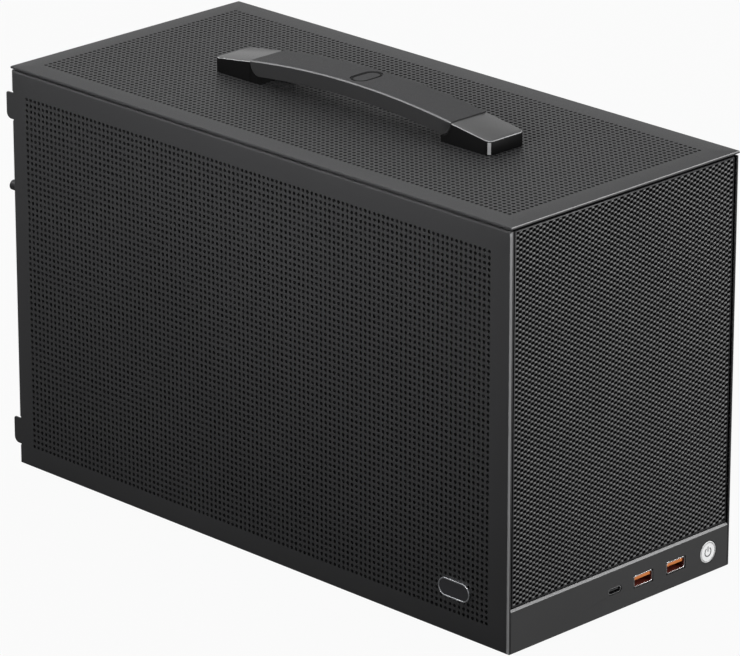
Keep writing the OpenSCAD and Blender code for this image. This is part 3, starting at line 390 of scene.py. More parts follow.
def perforated_field(name, columns, rows, pitch_u, pitch_v, low_u, low_v, hole):
    """A flat field of square cells, each with a round hole, in the XY plane."""
    bpy.ops.object.select_all(action="DESELECT")
    bpy.ops.mesh.primitive_circle_add(vertices=4, radius=pitch_u / math.sqrt(2), rotation=(0, 0, math.pi / 4))
    cell = settle(new_piece(name))
    cell.scale = (1, pitch_v / pitch_u, 1)
    settle(cell)
    edit()
    bpy.ops.mesh.primitive_circle_add(vertices=8, radius=hole / 2, rotation=(0, 0, math.pi / 8))
    take_all()
    bpy.ops.mesh.bridge_edge_loops()
    take_all()
    bpy.ops.transform.translate(value=(low_u, low_v, 0))
    done()
    repeat(cell, columns, (pitch_u, 0, 0))
    repeat(cell, rows, (0, pitch_v, 0))
    return cell


class Outline:
    """The rectangle that a sheet's edge lies on, in the XY plane."""

    def __init__(self, u0, u1, v0, v1, w=0.0):
        self.u0, self.u1, self.v0, self.v1, self.w = u0, u1, v0, v1, w

    def holds(self, p):
        on_u = min(abs(p.x - self.u0), abs(p.x - self.u1)) < ON_LINE
        on_v = min(abs(p.y - self.v0), abs(p.y - self.v1)) < ON_LINE
        inside = self.u0 - ON_LINE < p.x < self.u1 + ON_LINE and self.v0 - ON_LINE < p.y < self.v1 + ON_LINE
        return inside and (on_u or on_v) and abs(p.z - self.w) < ON_LINE


def choose_outline(sheet, outline):
    choose(sheet, "EDGE", lambda a, b: outline.holds(a) and outline.holds(b) and (
        abs(a.x - b.x) < SAME or abs(a.y - b.y) < SAME))


def run_edge_out(old, new):
    """Extrudes the selected outline from one rectangle to the next."""
    bpy.ops.mesh.extrude_edges_indiv()
    wide = (new.u1 - new.u0) / (old.u1 - old.u0)
    tall = (new.v1 - new.v0) / (old.v1 - old.v0)
    centre = ((old.u0 + old.u1) / 2, (old.v0 + old.v1) / 2, old.w)
    bpy.ops.transform.resize(value=(wide, tall, 1), center_override=centre)
    bpy.ops.transform.translate(value=(
        (new.u0 + new.u1) / 2 - centre[0], (new.v0 + new.v1) / 2 - centre[1], new.w - old.w))


def fold_edge(sheet, field, face, radius, steps, straight):
    """Runs a field out to its flat rim, then round a bend and straight down."""
    choose_outline(sheet, field)
    inner = Outline(face.u0 + radius, face.u1 - radius, face.v0 + radius, face.v1 - radius)
    run_edge_out(field, inner)
    last = inner
    for i in range(1, steps + 1):
        angle = math.pi / 2 * i / steps
        out, down = radius * math.sin(angle), radius * (1 - math.cos(angle))
        step = Outline(inner.u0 - out, inner.u1 + out, inner.v0 - out, inner.v1 + out, -down)
        run_edge_out(last, step)
        last = step
    if straight:
        step = Outline(last.u0, last.u1, last.v0, last.v1, last.w - straight)
        run_edge_out(last, step)
        last = step
    done()
    return last


TAB_LOW, TAB_HIGH, TAB_L, TAB_OUT = 13.8 * MM, 185.6 * MM, 13.6 * MM, 3.6 * MM
NOTCH_Z = 149 * MM


def side_sheet():
    """The left panel's sheet, seen from outside: U runs to the front, V runs up."""
    columns, rows = 108, 63
    pitch_u, pitch_v = 2.942 * MM, 2.955 * MM
    low_u, low_v = -158.5 * MM, 15.0 * MM
    sheet = perforated_field("left_panel_rear", columns, rows, pitch_u, pitch_v, low_u, low_v, HOLE_D)
    field = Outline(low_u - pitch_u / 2, low_u + (columns - 0.5) * pitch_u,
                    low_v - pitch_v / 2, low_v + (rows - 0.5) * pitch_v)
    face = Outline(-HALF_D, HALF_D, BASE_Z, PANEL_TOP)
    last = fold_edge(sheet, field, face, BEND, 4, 0.3 * MM)
    rear = -HALF_D
    bend_start = rear + BEND
    relief = 1 * MM
    cuts = [NOTCH_Z - 2.1 * MM, NOTCH_Z + 2.1 * MM, BASE_Z + 3 * MM, PANEL_TOP - 3 * MM]
    for low in (TAB_LOW, TAB_HIGH):
        cuts += [low - relief, low, low + TAB_L, low + TAB_L + relief]
    for v in cuts:
        choose(sheet, "FACE", lambda c, n: c.x < bend_start + 2 * MM or (c.x < field.u0 and abs(c.z) < SAME))
        bpy.ops.mesh.bisect(plane_co=(0, v, 0), plane_no=(0, 1, 0))
    done()
    in_tabs = lambda v, more: any(low - more < v < low + TAB_L + more for low in (TAB_LOW, TAB_HIGH))
    choose(sheet, "FACE", lambda c, n: c.x < bend_start and in_tabs(c.y, relief))
    bpy.ops.mesh.delete(type="FACE")
    # the rear flange, open at the tabs and at the screw
    choose(sheet, "EDGE", lambda a, b: a.z < last.w + NEAR and b.z < last.w + NEAR and abs(a.x - rear) < NEAR
           and abs(b.x - rear) < NEAR and BASE_Z + 3 * MM - NEAR < min(a.y, b.y)
           and max(a.y, b.y) < PANEL_TOP - 3 * MM + NEAR and abs((a.y + b.y) / 2 - NOTCH_Z) > 2.1 * MM)
    bpy.ops.mesh.extrude_edges_indiv()
    bpy.ops.transform.translate(value=(0, 0, -8.7 * MM))
    # the pull tabs
    choose(sheet, "EDGE", lambda a, b: abs(a.z) < NEAR and abs(b.z) < NEAR and abs(a.x - bend_start) < NEAR
           and abs(b.x - bend_start) < NEAR and in_tabs((a.y + b.y) / 2, 0))
    bpy.ops.mesh.extrude_edges_indiv()
    bpy.ops.transform.translate(value=(-TAB_OUT - BEND, 0, 0))
    tip = rear - TAB_OUT
    ends = [v for low in (TAB_LOW, TAB_HIGH) for v in (low, low + TAB_L)]
    choose(sheet, "VERT", lambda p: abs(p.x - tip) < NEAR and min(abs(p.y - v) for v in ends) > NEAR)
    bpy.ops.mesh.dissolve_verts()
    for corners, reach in (((TAB_LOW, TAB_HIGH), 3 * MM), ((TAB_LOW + TAB_L, TAB_HIGH + TAB_L), 1 * MM)):
        choose(sheet, "VERT", lambda p: abs(p.x - tip) < NEAR and min(abs(p.y - v) for v in corners) < NEAR)
        bpy.ops.mesh.bevel(affect="VERTICES", offset=reach, segments=4)
    done()
    return sheet, low_u + (columns // 2 - 0.5) * pitch_u


def build_sides():
    """Both side panels, each in two halves; the right one mirrors the left."""
    sheet, half_way = side_sheet()
    choose(sheet, "FACE", lambda c, n: c.x > half_way)
    bpy.ops.mesh.separate(type="SELECTED")
    done()
    front = [o for o in bpy.context.selected_objects if o is not sheet][0]
    front.name = front.data.name = "left_panel_front"
    left_place = Matrix(((0, 0, -1, -HALF_W), (-1, 0, 0, BODY_Y), (0, 1, 0, 0), (0, 0, 0, 1)))
    halves = {"rear": sheet, "front": front}
    for piece in halves.values():
        piece.matrix_world = left_place
        settle(piece)
    for end, piece in halves.items():
        other = copy_piece(piece, "right_panel_" + end)
        other.scale = (-1, 1, 1)
        settle(other)
        # a mirrored sheet faces inwards until its normals are turned
        if sum(p.normal.x for p in other.data.polygons if abs(p.center.x - HALF_W) < SAME) < 0:
            flip(other)
        for half, side in ((piece, "left"), (other, "right")):
            give_wall(half, SKIN)
            paint(half, powder_coat, painted_highlight_edge)
            # the outer faces of the front bend get the painted highlight
            for p in half.data.polygons:
                outside = p.normal.x * p.center.x > 0
                front_bend = 0.5 < abs(p.normal.x) < 0.88 and p.normal.y < -0.4
                if front_bend and outside and p.center.y < BODY_Y - HALF_D + BEND:
                    p.material_index = 1
            soften(half, 35)
            fit_piece(half, side + "_panel", "panel_steel", powder_coat, side + "_panel")


def build_nets():
    """A fine near-black net close behind each pierced side and behind the front mesh, as painted shade standing in
    for the dark inside: nothing shows through the holes.
    """
    inner, net_t = HALF_W - SKIN, 0.2 * MM
    ends = -159.6 * MM + BODY_Y, 161.8 * MM + BODY_Y
    low_z, high_z = 12 * MM, 202 * MM
    spans = {
        "left": ((-inner, ends[0], low_z), (-inner + net_t, ends[1], high_z)),
        "right": ((inner - net_t, ends[0], low_z), (inner, ends[1], high_z)),
        "front": ((-74 * MM, -169.08 * MM + BODY_Y, 26.2 * MM), (74 * MM, -168.92 * MM + BODY_Y, 210 * MM)),
    }
    for name, (low, high) in spans.items():
        net = box_piece(name + "_shade_net", low, high)
        thin = 1 if name == "front" else 0
        choose(net, "EDGE", lambda a, b: abs(a[thin] - b[thin]) > 0.1 * MM)
        bpy.ops.mesh.bevel(offset=3 * MM, segments=4)
        done()
        soften(net, 30)
        fit_piece(net, name + "_panel", "black_plastic", shade_net)


def build_lid():
    """The lid with its plain rim, its hole walls painted darker as shade, and its front and rear edges painted
    lighter as a highlight.
    """
    columns, rows = 108, 45
    pitch_x, pitch_y = 2.925 * MM, 2.942 * MM
    low_x, low_y = -64.35 * MM, -156.3 * MM
    lid = perforated_field("lid_sheet", rows, columns, pitch_x, pitch_y, low_x, low_y, LID_HOLE_D)
    field = Outline(low_x - pitch_x / 2, low_x + (rows - 0.5) * pitch_x,
                    low_y - pitch_y / 2, low_y + (columns - 0.5) * pitch_y)
    choose_outline(lid, field)
    run_edge_out(field, Outline(-HALF_W, HALF_W, -HALF_D, HALF_D))
    # plain pads under the handle's ends
    choose(lid, "VERT", lambda p: abs(p.x) < 11.4 * MM and 69 * MM < abs(p.y) < 92.5 * MM)
    bpy.ops.mesh.fill_holes(sides=8)
    done()
    lid.location = (0, BODY_Y, TOP_Z)
    settle(lid)
    give_wall(lid, 1.2 * MM)
    at_rim = lambda p: abs(p.x) > HALF_W - NEAR or abs(p.y - BODY_Y) > HALF_D - NEAR
    choose(lid, "EDGE", lambda a, b: at_rim(a) and at_rim(b) and min(a.z, b.z) > TOP_Z - NEAR)
    bpy.ops.mesh.bevel(offset=0.45 * MM, segments=3)
    done()
    paint(lid, powder_coat, painted_highlight_edge, hole_painted_shade)
    # the front and rear bevels get a painted highlight, the hole walls painted shade
    for p in lid.data.polygons:
        on_bevel = 0.15 < p.normal.z < 0.99 and abs(p.normal.x) < 0.2
        if on_bevel and at_rim(p.center + p.normal * 0.4 * MM):
            p.material_index = 1
        elif abs(p.normal.z) < 0.1 and not at_rim(p.center):
            p.material_index = 2
    soften(lid, 40)
    return fit_piece(lid, "chassis", "panel_steel", powder_coat, "lid")


def build_front_mesh():
    """Diamond mesh with raised nodes, inside a narrow folded edge. U runs to the right, V runs up."""
    half_u, half_v = MESH_HALF_U, MESH_HALF_V
    wide, low, high = MESH_WIDE, MESH_LOW, MESH_HIGH
    edge = 0.5 * MM
    middle_v = (low + high) / 2
    bpy.ops.object.select_all(action="DESELECT")
    bpy.ops.mesh.primitive_circle_add(vertices=4, radius=half_u)
    cell = new_piece("front_mesh_sheet")
    cell.scale = (1, half_v / half_u, 1)
    settle(cell)
    edit()
    take_all()
    bpy.ops.transform.translate(value=(0, 0, NODE_RISE))
    bpy.ops.mesh.primitive_circle_add(vertices=6, radius=1.38 * MM)
    bpy.ops.transform.resize(value=(1, 0.68 / 1.195, 1))
    take_all()
    bpy.ops.mesh.bridge_edge_loops()
    take_all()
    bpy.ops.mesh.duplicate()
    bpy.ops.transform.translate(value=(half_u, half_v, 0))
    take_all()
    bpy.ops.mesh.remove_doubles(threshold=WELD)
    bpy.ops.transform.translate(value=(MESH_U0, MESH_V0, -NODE_RISE))
    done()
    repeat(cell, MESH_COLUMNS, (2 * half_u, 0, 0))
    repeat(cell, MESH_ROWS, (0, 2 * half_v, 0))
    edit()
    for co, no in (((wide - edge, 0, 0), (1, 0, 0)), ((-wide + edge, 0, 0), (-1, 0, 0)),
                   ((0, high - edge, 0), (0, 1, 0)), ((0, low + edge, 0), (0, -1, 0))):
        take_all()
        bpy.ops.mesh.bisect(plane_co=co, plane_no=no, clear_outer=True)
    done()
    if sum(p.normal.z for p in cell.data.polygons) < 0:
        flip(cell)
    give_wall(cell, 0.3 * MM)
    paint(cell, node_light_and_shade)
    # the folded edge round the mesh
    bpy.ops.object.select_all(action="DESELECT")
    bpy.ops.mesh.primitive_plane_add(size=1, location=(0, middle_v, 0))
    rim = new_piece("front_mesh_rim")
    rim.scale = (2 * (wide - edge - 0.1 * MM), high - low - 2 * (edge + 0.1 * MM), 1)
    settle(rim)
    inner = Outline(-wide + edge + 0.1 * MM, wide - edge - 0.1 * MM, low + edge + 0.1 * MM, high - edge - 0.1 * MM)
    choose(rim, "FACE", lambda c, n: True)
    bpy.ops.mesh.delete(type="ONLY_FACE")
    done()
    fold_edge(rim, inner, Outline(-wide, wide, low, high), 0.6 * MM, 3, 2.4 * MM)
    turn_outwards(rim)
    if sum(p.normal.z * p.area for p in rim.data.polygons) < 0:
        flip(rim)
    give_wall(rim, 0.5 * MM)
    paint(rim, frame_paint)
    sheet = join("front_mesh_sheet", [cell, rim])
    sheet.matrix_world = Matrix.Translation((0, -169.6 * MM + BODY_Y, 0)) @ Matrix.Rotation(math.pi / 2, 4, "X")
    settle(sheet)
    soften(sheet, 55)
    return fit_piece(sheet, "front_panel", "mesh_steel", node_light_and_shade, "front_mesh")


# ---- handle -----------------------------------------------------------------------------------------------

ARCH_R, GRIP_T, GRIP_HALF, GRIP_W = 505 * MM, 7.8 * MM, 68 * MM, 12.25 * MM
END_RUN = 8.5 * MM          # the straight run at each end of the grip
GRIP_TOP = TOP_Z + 15.6 * MM
ARCH_Z = GRIP_TOP - ARCH_R


def arch_radius(p):
    return math.hypot(p.y - BODY_Y, p.z - ARCH_Z)


def build_grip():
    """A section spun about the arch's far axis, with a channel for the strap and rounded ends."""
    bpy.ops.object.select_all(action="DESELECT")
    mid_r = ARCH_R - GRIP_T / 2
    bpy.ops.mesh.primitive_plane_add(size=1, location=(0, BODY_Y, ARCH_Z + mid_r), rotation=(math.pi / 2, 0, 0))
    grip = new_piece("soft_grip")
    grip.scale = (2 * GRIP_W, GRIP_T, 1)
    settle(grip)
    edit()
    channel = 7.6 * MM
    for x in (-channel, channel):
        take_all()
        bpy.ops.mesh.bisect(plane_co=(x, 0, 0), plane_no=(1, 0, 0))
    take_all()
    arc_half = GRIP_HALF - END_RUN
    half_angle = math.asin(arc_half / ARCH_R)
    bpy.ops.transform.rotate(value=half_angle, orient_axis="X", center_override=(0, BODY_Y, ARCH_Z))
    done()
    starts_at_rear = sum(v.co.y for v in grip.data.vertices) / len(grip.data.vertices) > BODY_Y
    edit()
    take_all()
    bpy.ops.mesh.spin(steps=44, angle=(-2 if starts_at_rear else 2) * half_angle, center=(0, BODY_Y, ARCH_Z),
                      axis=(1, 0, 0))
    done()
    if max(abs(v.co.y - BODY_Y) for v in grip.data.vertices) > 1.1 * arc_half:
        raise RuntimeError("the grip was spun the wrong way")
    choose(grip, "FACE", lambda c, n: abs(abs(c.y - BODY_Y) - arc_half) < 1 * MM and abs(n.y) > 0.9)
    bpy.ops.mesh.delete(type="FACE")
    for sign in (-1, 1):
        choose(grip, "EDGE", lambda a, b: min(sign * (a.y - BODY_Y), sign * (b.y - BODY_Y)) > arc_half - 1.2 * MM)
        bpy.ops.mesh.extrude_edges_indiv()
        bpy.ops.transform.translate(value=(0, sign * END_RUN * math.cos(half_angle), -END_RUN * math.sin(half_angle)))
    for sign in (-1, 1):
        choose(grip, "EDGE", lambda a, b: min(sign * (a.y - BODY_Y), sign * (b.y - BODY_Y)) > GRIP_HALF - 2.5 * MM)
        bpy.ops.mesh.fill()
    done()
    turn_outwards(grip)
    low_r = ARCH_R - GRIP_T
    choose(grip, "FACE", lambda c, n: abs(arch_radius(c) - low_r) < 0.05 * MM and abs(c.x) < channel
           and abs(c.y - BODY_Y) < arc_half)
    bpy.ops.mesh.extrude_region_shrink_fatten(TRANSFORM_OT_shrink_fatten={"value": -1.9 * MM})
    on_side = lambda p: abs(p.x) > GRIP_W - NEAR
    at_r = lambda p, r: abs(arch_radius(p) - r) < 0.12 * MM
    choose(grip, "EDGE", lambda a, b: on_side(a) and on_side(b) and a.x * b.x > 0
           and at_r(a, ARCH_R) and at_r(b, ARCH_R))
    bpy.ops.mesh.bevel(offset=1.5 * MM, segments=3, profile=0.6)
    end = lambda p: abs(abs(p.y - BODY_Y) - GRIP_HALF) < 1.6 * MM
    choose(grip, "EDGE", lambda a, b: end(a) and end(b) and a.y * b.y > 0 and at_r(a, low_r) and at_r(b, low_r)
           and abs(a.y - b.y) < SAME)
    bpy.ops.mesh.bevel(offset=6.0 * MM, segments=8)
    done()
    # the oval recess
    bpy.ops.object.select_all(action="DESELECT")
    bpy.ops.mesh.primitive_cylinder_add(vertices=40, radius=5.3 * MM, depth=4 * MM,
                                        location=(0, BODY_Y, GRIP_TOP + 2 * MM - 0.5 * MM))
    cutter = settle(new_piece("recess_cutter"))
    stretch_oval(cutter, "x", 4 * MM)
    apply_modifier(grip, "BOOLEAN", object=cutter, operation="DIFFERENCE", solver="EXACT")
    bpy.data.objects.remove(cutter)
    paint(grip, grip_rubber, grip_painted_highlight, grip_painted_shade)
    # the upper edges get the painted highlight, the upright flanks the painted shade
    for p in grip.data.polygons:
        upper = arch_radius(p.center) > ARCH_R - 1.6 * MM and abs(p.center.x) > GRIP_W - 1.6 * MM
        p.material_index = 0
        if upper and 0.5 < abs(p.normal.x) < 0.88:
            p.material_index = 1
        elif abs(p.normal.x) > 0.9:
            p.material_index = 2
    soften(grip, 32)
    return fit_piece(grip, "chassis", "grip_rubber", grip_rubber, "handle_grip")


def stretch_oval(piece, axis, reach):
    """Pulls a round piece apart into an oval with straight sides."""
    index = "xyz".index(axis)
    middle = sum(v.co[index] for v in piece.data.vertices) / len(piece.data.vertices)
    for sign in (-1, 1):
        choose(piece, "VERT", lambda p: (p[index] - middle) * sign > 1e-7)
        move = [0, 0, 0]
        move[index] = sign * reach
        bpy.ops.transform.translate(value=move)
    done()


def build_inlay():
    """The plain oval in the grip's recess, its rim painted near-black as the shade of the recess."""
    bpy.ops.object.select_all(action="DESELECT")
    bpy.ops.mesh.primitive_cylinder_add(vertices=40, radius=4.6 * MM, depth=0.6 * MM,
                                        location=(0, BODY_Y, GRIP_TOP - 0.42 * MM))
    inlay = settle(new_piece("oval_inlay"))
    stretch_oval(inlay, "x", 4 * MM)
    top = GRIP_TOP - 0.12 * MM
    choose(inlay, "FACE", lambda c, n: n.z > 0.9)
    bpy.ops.mesh.inset(thickness=0.9 * MM)
    bpy.ops.mesh.extrude_region_move(TRANSFORM_OT_translate={"value": (0, 0, -0.18 * MM)})
    choose(inlay, "EDGE", lambda a, b: min(a.z, b.z) > top - NEAR)
    bpy.ops.mesh.bevel(offset=0.12 * MM, segments=2)
    done()
    paint(inlay, grip_rubber, near_black_painted_shade)
    # the rim's outer wall and top get the near-black painted shade
    for p in inlay.data.polygons:
        if p.normal.z < 0.5 and max((inlay.data.vertices[i].co.xy - Vector((0, BODY_Y))).length
                                    for i in p.vertices) > 4.4 * MM:
            p.material_index = 1
        elif p.center.z > top - 0.16 * MM:
            p.material_index = 1
    soften(inlay, 40)
    return fit_piece(inlay, "chassis", "grip_rubber", grip_rubber, "handle_inlay")


def build_caps():
    """The end caps: sloping, rounded blocks with painted highlights on their upper edges and corners and painted
    shade on their sides.
    """
    for sign, end in ((-1, "front"), (1, "rear")):
        near, far = GRIP_HALF + 0.15 * MM, 93.4 * MM
        ys = sorted((sign * near + BODY_Y, sign * far + BODY_Y))
        cap = box_piece("end_cap_" + end, (-GRIP_W, ys[0], TOP_Z), (GRIP_W, ys[1], TOP_Z + 10.5 * MM))
        outer = sign * far + BODY_Y
        at_end = lambda p: abs(p.y - outer) < NEAR
        on_top = lambda p: p.z > TOP_Z + 3 * MM
        choose(cap, "VERT", lambda p: at_end(p) and on_top(p))
        bpy.ops.transform.translate(value=(0, 0, -3.4 * MM))
        choose(cap, "EDGE", lambda a, b: at_end(a) and at_end(b) and abs(a.x - b.x) < SAME)
        bpy.ops.mesh.bevel(offset=3.2 * MM, segments=3)
        choose(cap, "EDGE", lambda a, b: on_top(a) and on_top(b)
               and not (abs(a.y - sign * near - BODY_Y) < NEAR and abs(b.y - sign * near - BODY_Y) < NEAR))
        bpy.ops.mesh.bevel(offset=0.8 * MM, segments=3)
        choose(cap, "EDGE", lambda a, b: max(a.z, b.z) < TOP_Z + NEAR
               and min(abs(a.y - BODY_Y), abs(b.y - BODY_Y)) > near + 1 * MM)
        bpy.ops.mesh.bevel(offset=0.4 * MM, segments=2)
        done()
        paint(cap, cap_plastic, painted_highlight_edge, near_black_painted_shade)
        # upper edges and upright corners get the painted highlight, the sides the near-black painted shade
        for p in cap.data.polygons:
            top_edge = 0.5 < p.normal.z < 0.9 and abs(p.normal.y) < 0.9 and p.center.z > TOP_Z + 5 * MM
            corner = abs(p.normal.z) < 0.1 and abs(abs(p.normal.x) - abs(p.normal.y)) < 0.2
            if top_edge or corner:
                p.material_index = 1
            elif p.normal.z < 0.4:
                p.material_index = 2
        # the foot that runs in under the grip's rounded end, painted near-black as the shade under the grip
        ys = sorted((sign * 61.6 * MM + BODY_Y, sign * (near + 0.1 * MM) + BODY_Y))
        foot = box_piece("cap_foot", (-GRIP_W + 0.2 * MM, ys[0], TOP_Z), (GRIP_W - 0.2 * MM, ys[1], TOP_Z + 9.6 * MM))
        ys = sorted((sign * 50 * MM + BODY_Y, sign * near + BODY_Y))
        hollow = box_piece("foot_hollow", (-20 * MM, ys[0], TOP_Z + 3.3 * MM), (20 * MM, ys[1], TOP_Z + 20 * MM))
        choose(hollow, "EDGE", lambda a, b: max(a.z, b.z) < TOP_Z + 4 * MM
               and min(abs(a.y - BODY_Y), abs(b.y - BODY_Y)) > near - 0.1 * MM)
        bpy.ops.mesh.bevel(offset=6.4 * MM, segments=8)
        done()
        apply_modifier(foot, "BOOLEAN", object=hollow, operation="DIFFERENCE", solver="EXACT")
        bpy.data.objects.remove(hollow)
        paint(foot, near_black_painted_shade)
        cap = join("end_cap_" + end, [cap, foot])
        soften(cap, 24)
        fit_piece(cap, "chassis", "cap_plastic", cap_plastic, "handle_cap_" + end)


# ---- strip: ports, button, badge --------------------------------------------------------------------------

PORT_Z = 13.8 * MM
FRONT_Y = -HALF_D + BODY_Y


def build_large_ports():
    """The two large ports: nickel shells painted dark red inside as shade, with orange tongues."""
    width, height, length = 13.1 * MM, 5.9 * MM, 14 * MM
    face_y = FRONT_Y + 0.3 * MM
    for number, x in ((1, 15.8 * MM), (2, 38.7 * MM)):
        shell = box_piece("large_port_shell_%d" % number, (x - width / 2, face_y, PORT_Z - height / 2),
                          (x + width / 2, face_y + length, PORT_Z + height / 2))
        choose(shell, "EDGE", lambda a, b: abs(a.x - b.x) < SAME and abs(a.z - b.z) < SAME)
        bpy.ops.mesh.bevel(offset=1.3 * MM, segments=5)
        choose(shell, "FACE", lambda c, n: n.y < -0.9)
        bpy.ops.mesh.inset(thickness=0.5 * MM)
        bpy.ops.mesh.extrude_region_move(TRANSFORM_OT_translate={"value": (0, length - 0.4 * MM, 0)})
        choose(shell, "EDGE", lambda a, b: max(a.y, b.y) < face_y + NEAR)
        bpy.ops.mesh.bevel(offset=0.12 * MM, segments=2)
        done()
        paint(shell, port_nickel, port_inside_painted_shade)
        # the inner walls that face the port's middle get the painted shade
        for p in shell.data.polygons:
            towards = Vector((p.center.x - x, 0, p.center.z - PORT_Z)).dot(p.normal) < 0
            if p.center.y > face_y + 0.3 * MM and towards:
                p.material_index = 1
        soften(shell, 40)
        fit_piece(shell, "chassis", "port_shell", port_nickel, "usb_a_port_%d" % number)
        tongue = box_piece("large_port_tongue_%d" % number, (x - 5.6 * MM, face_y + 0.7 * MM, PORT_Z + 0.3 * MM),
                           (x + 5.6 * MM, face_y + 10.6 * MM, PORT_Z + 2.35 * MM))
        choose(tongue, "EDGE", lambda a, b: max(a.y, b.y) < face_y + 0.8 * MM)
        bpy.ops.mesh.bevel(offset=0.3 * MM, segments=2)
        done()
        block = box_piece("large_port_block_%d" % number, (x - 6.1 * MM, face_y + 10.6 * MM, PORT_Z - 2.5 * MM),
                          (x + 6.1 * MM, face_y + 13.5 * MM, PORT_Z + 2.5 * MM))
        choose(block, "EDGE", lambda a, b: max(a.y, b.y) < face_y + 10.7 * MM)
        bpy.ops.mesh.bevel(offset=0.3 * MM, segments=1)
        done()
        paint(tongue, tongue_orange)
        # the block behind the tongue gets the painted shade too
        paint(block, port_inside_painted_shade)
        tongue = join("large_port_tongue_%d" % number, [tongue, block])
        soften(tongue, 40)
        fit_piece(tongue, "chassis", "orange_plastic", tongue_orange, "usb_a_tongues")


def build_strip():
    """The strip's own sheet with its upper front edge rounded and painted lighter as a highlight."""
    node = frame["nodes"]["front_strip"]
    only(node)
    bpy.ops.object.duplicate(linked=False)
    strip = new_piece("port_strip")
    turn_outwards(strip)
    top = max(v.co.z for v in strip.data.vertices)
    front = min(v.co.y for v in strip.data.vertices)
    edge = lambda p: p.z > top - NEAR and p.y < front + NEAR
    choose(strip, "EDGE", lambda a, b: edge(a) and edge(b))
    bpy.ops.mesh.bevel(offset=0.38 * MM, segments=2)
    done()
    paint(strip, strip_paint, painted_highlight_edge)
    # the rounded top front edge gets the painted highlight
    for p in strip.data.polygons:
        if p.normal.y < -0.2 and p.normal.z > 0.2 and p.center.z > top - 1.2 * MM:
            p.material_index = 1
    soften(strip, 12)
    return fit_piece(strip, "chassis", "strip_metal", strip_paint, "front_strip")


def build_button():
    """The power button with its stem and the usual sign on its face."""
    x = 61.7 * MM
    disc = rod_piece("button_disc", (x, FRONT_Y, PORT_Z), (0, 4 * MM, 0), 5.5 * MM, 56)
    choose(disc, "FACE", lambda c, n: n.y < -0.9)
    bpy.ops.mesh.inset(thickness=0.9 * MM)
    bpy.ops.mesh.extrude_region_move(TRANSFORM_OT_translate={"value": (0, 0.12 * MM, 0)})
    bpy.ops.mesh.inset(thickness=0.25 * MM)
    choose(disc, "EDGE", lambda a, b: max(a.y, b.y) < FRONT_Y + NEAR
           and math.hypot(a.x - x, a.z - PORT_Z) > 5.4 * MM)
    bpy.ops.mesh.bevel(offset=0.45 * MM, segments=4)
    done()
    stem = rod_piece("button_stem", (x, FRONT_Y + 3.9 * MM, PORT_Z), (0, 11.1 * MM, 0), 1.7 * MM, 24)
    choose(stem, "EDGE", lambda a, b: min(a.y, b.y) > FRONT_Y + 14.9 * MM)
    bpy.ops.mesh.bevel(offset=0.3 * MM, segments=2)
    done()
    button = join("push_button", [disc, stem])
    soften(button, 32)
    fit_piece(button, "power_button", "button_white", button_white, "power_button")
    # the usual sign for on and off: an open ring and a bar
    face_y = FRONT_Y + 0.12 * MM
    bar = box_piece("sign_bar", (x - 0.28 * MM, face_y - 0.03 * MM, PORT_Z + 0.2 * MM),
                    (x + 0.28 * MM, face_y + 0.05 * MM, PORT_Z + 2.9 * MM))
    choose(bar, "EDGE", lambda a, b: abs(a.x - b.x) < SAME and abs(a.z - b.z) < SAME)
    bpy.ops.mesh.bevel(offset=0.25 * MM, segments=3)
    done()
    ring = box_piece("sign_ring", (x + 1.9 * MM, face_y - 0.03 * MM, PORT_Z - 0.02 * MM),
                     (x + 2.46 * MM, face_y + 0.05 * MM, PORT_Z))
    half_gap = 32
    choose(ring, "VERT", lambda p: True)
    bpy.ops.transform.rotate(value=math.radians(90 - half_gap), orient_axis="Y", center_override=(x, 0, PORT_Z))
    done()
    middle = sum((v.co for v in ring.data.vertices), Vector()) / 8
    turn = math.radians(360 - 2 * half_gap)
    if middle.x > x and middle.z > PORT_Z:
        turn = -turn
    outwards = middle - Vector((x, middle.y, PORT_Z))
    end = max(ring.data.polygons, key=lambda p: p.normal.cross(Vector((0, 1, 0))).dot(outwards)).center.copy()
    choose(ring, "FACE", lambda c, n: (c - end).length < 1e-7)
    bpy.ops.mesh.spin(steps=40, angle=turn, center=(x, 0, PORT_Z), axis=(0, 1, 0))
    done()
    turn_outwards(ring)
    sign = join("on_off_sign", [bar, ring])
    soften(sign, 30)
    fit_piece(sign, "power_button", "black_plastic", mark_grey)


def build_badge():
    """A plain oblong plate with a bright rim."""
    y, z = -136 * MM + BODY_Y, 26.2 * MM
    plate = rod_piece("plain_badge", (-HALF_W + 0.02 * MM, y, z), (-1.2 * MM, 0, 0), 4.8 * MM, 48)
    stretch_oval(plate, "y", 5.4 * MM)
    face = -HALF_W - 1.18 * MM
    choose(plate, "FACE", lambda c, n: n.x < -0.9)
    bpy.ops.mesh.inset(thickness=0.85 * MM)
    bpy.ops.mesh.extrude_region_move(TRANSFORM_OT_translate={"value": (0.35 * MM, 0, 0)})
    done()
    paint(plate, badge_rim, badge_field)
    for p in plate.data.polygons:
        if p.normal.x < -0.9 and p.center.x > face + 0.2 * MM:
            p.material_index = 1
    choose(plate, "EDGE", lambda a, b: max(a.x, b.x) < face + NEAR)
    bpy.ops.mesh.bevel(offset=0.22 * MM, segments=3)
    done()
    soften(plate, 40)
    return fit_piece(plate, "left_panel", "badge_metal", badge_rim, "side_badge")


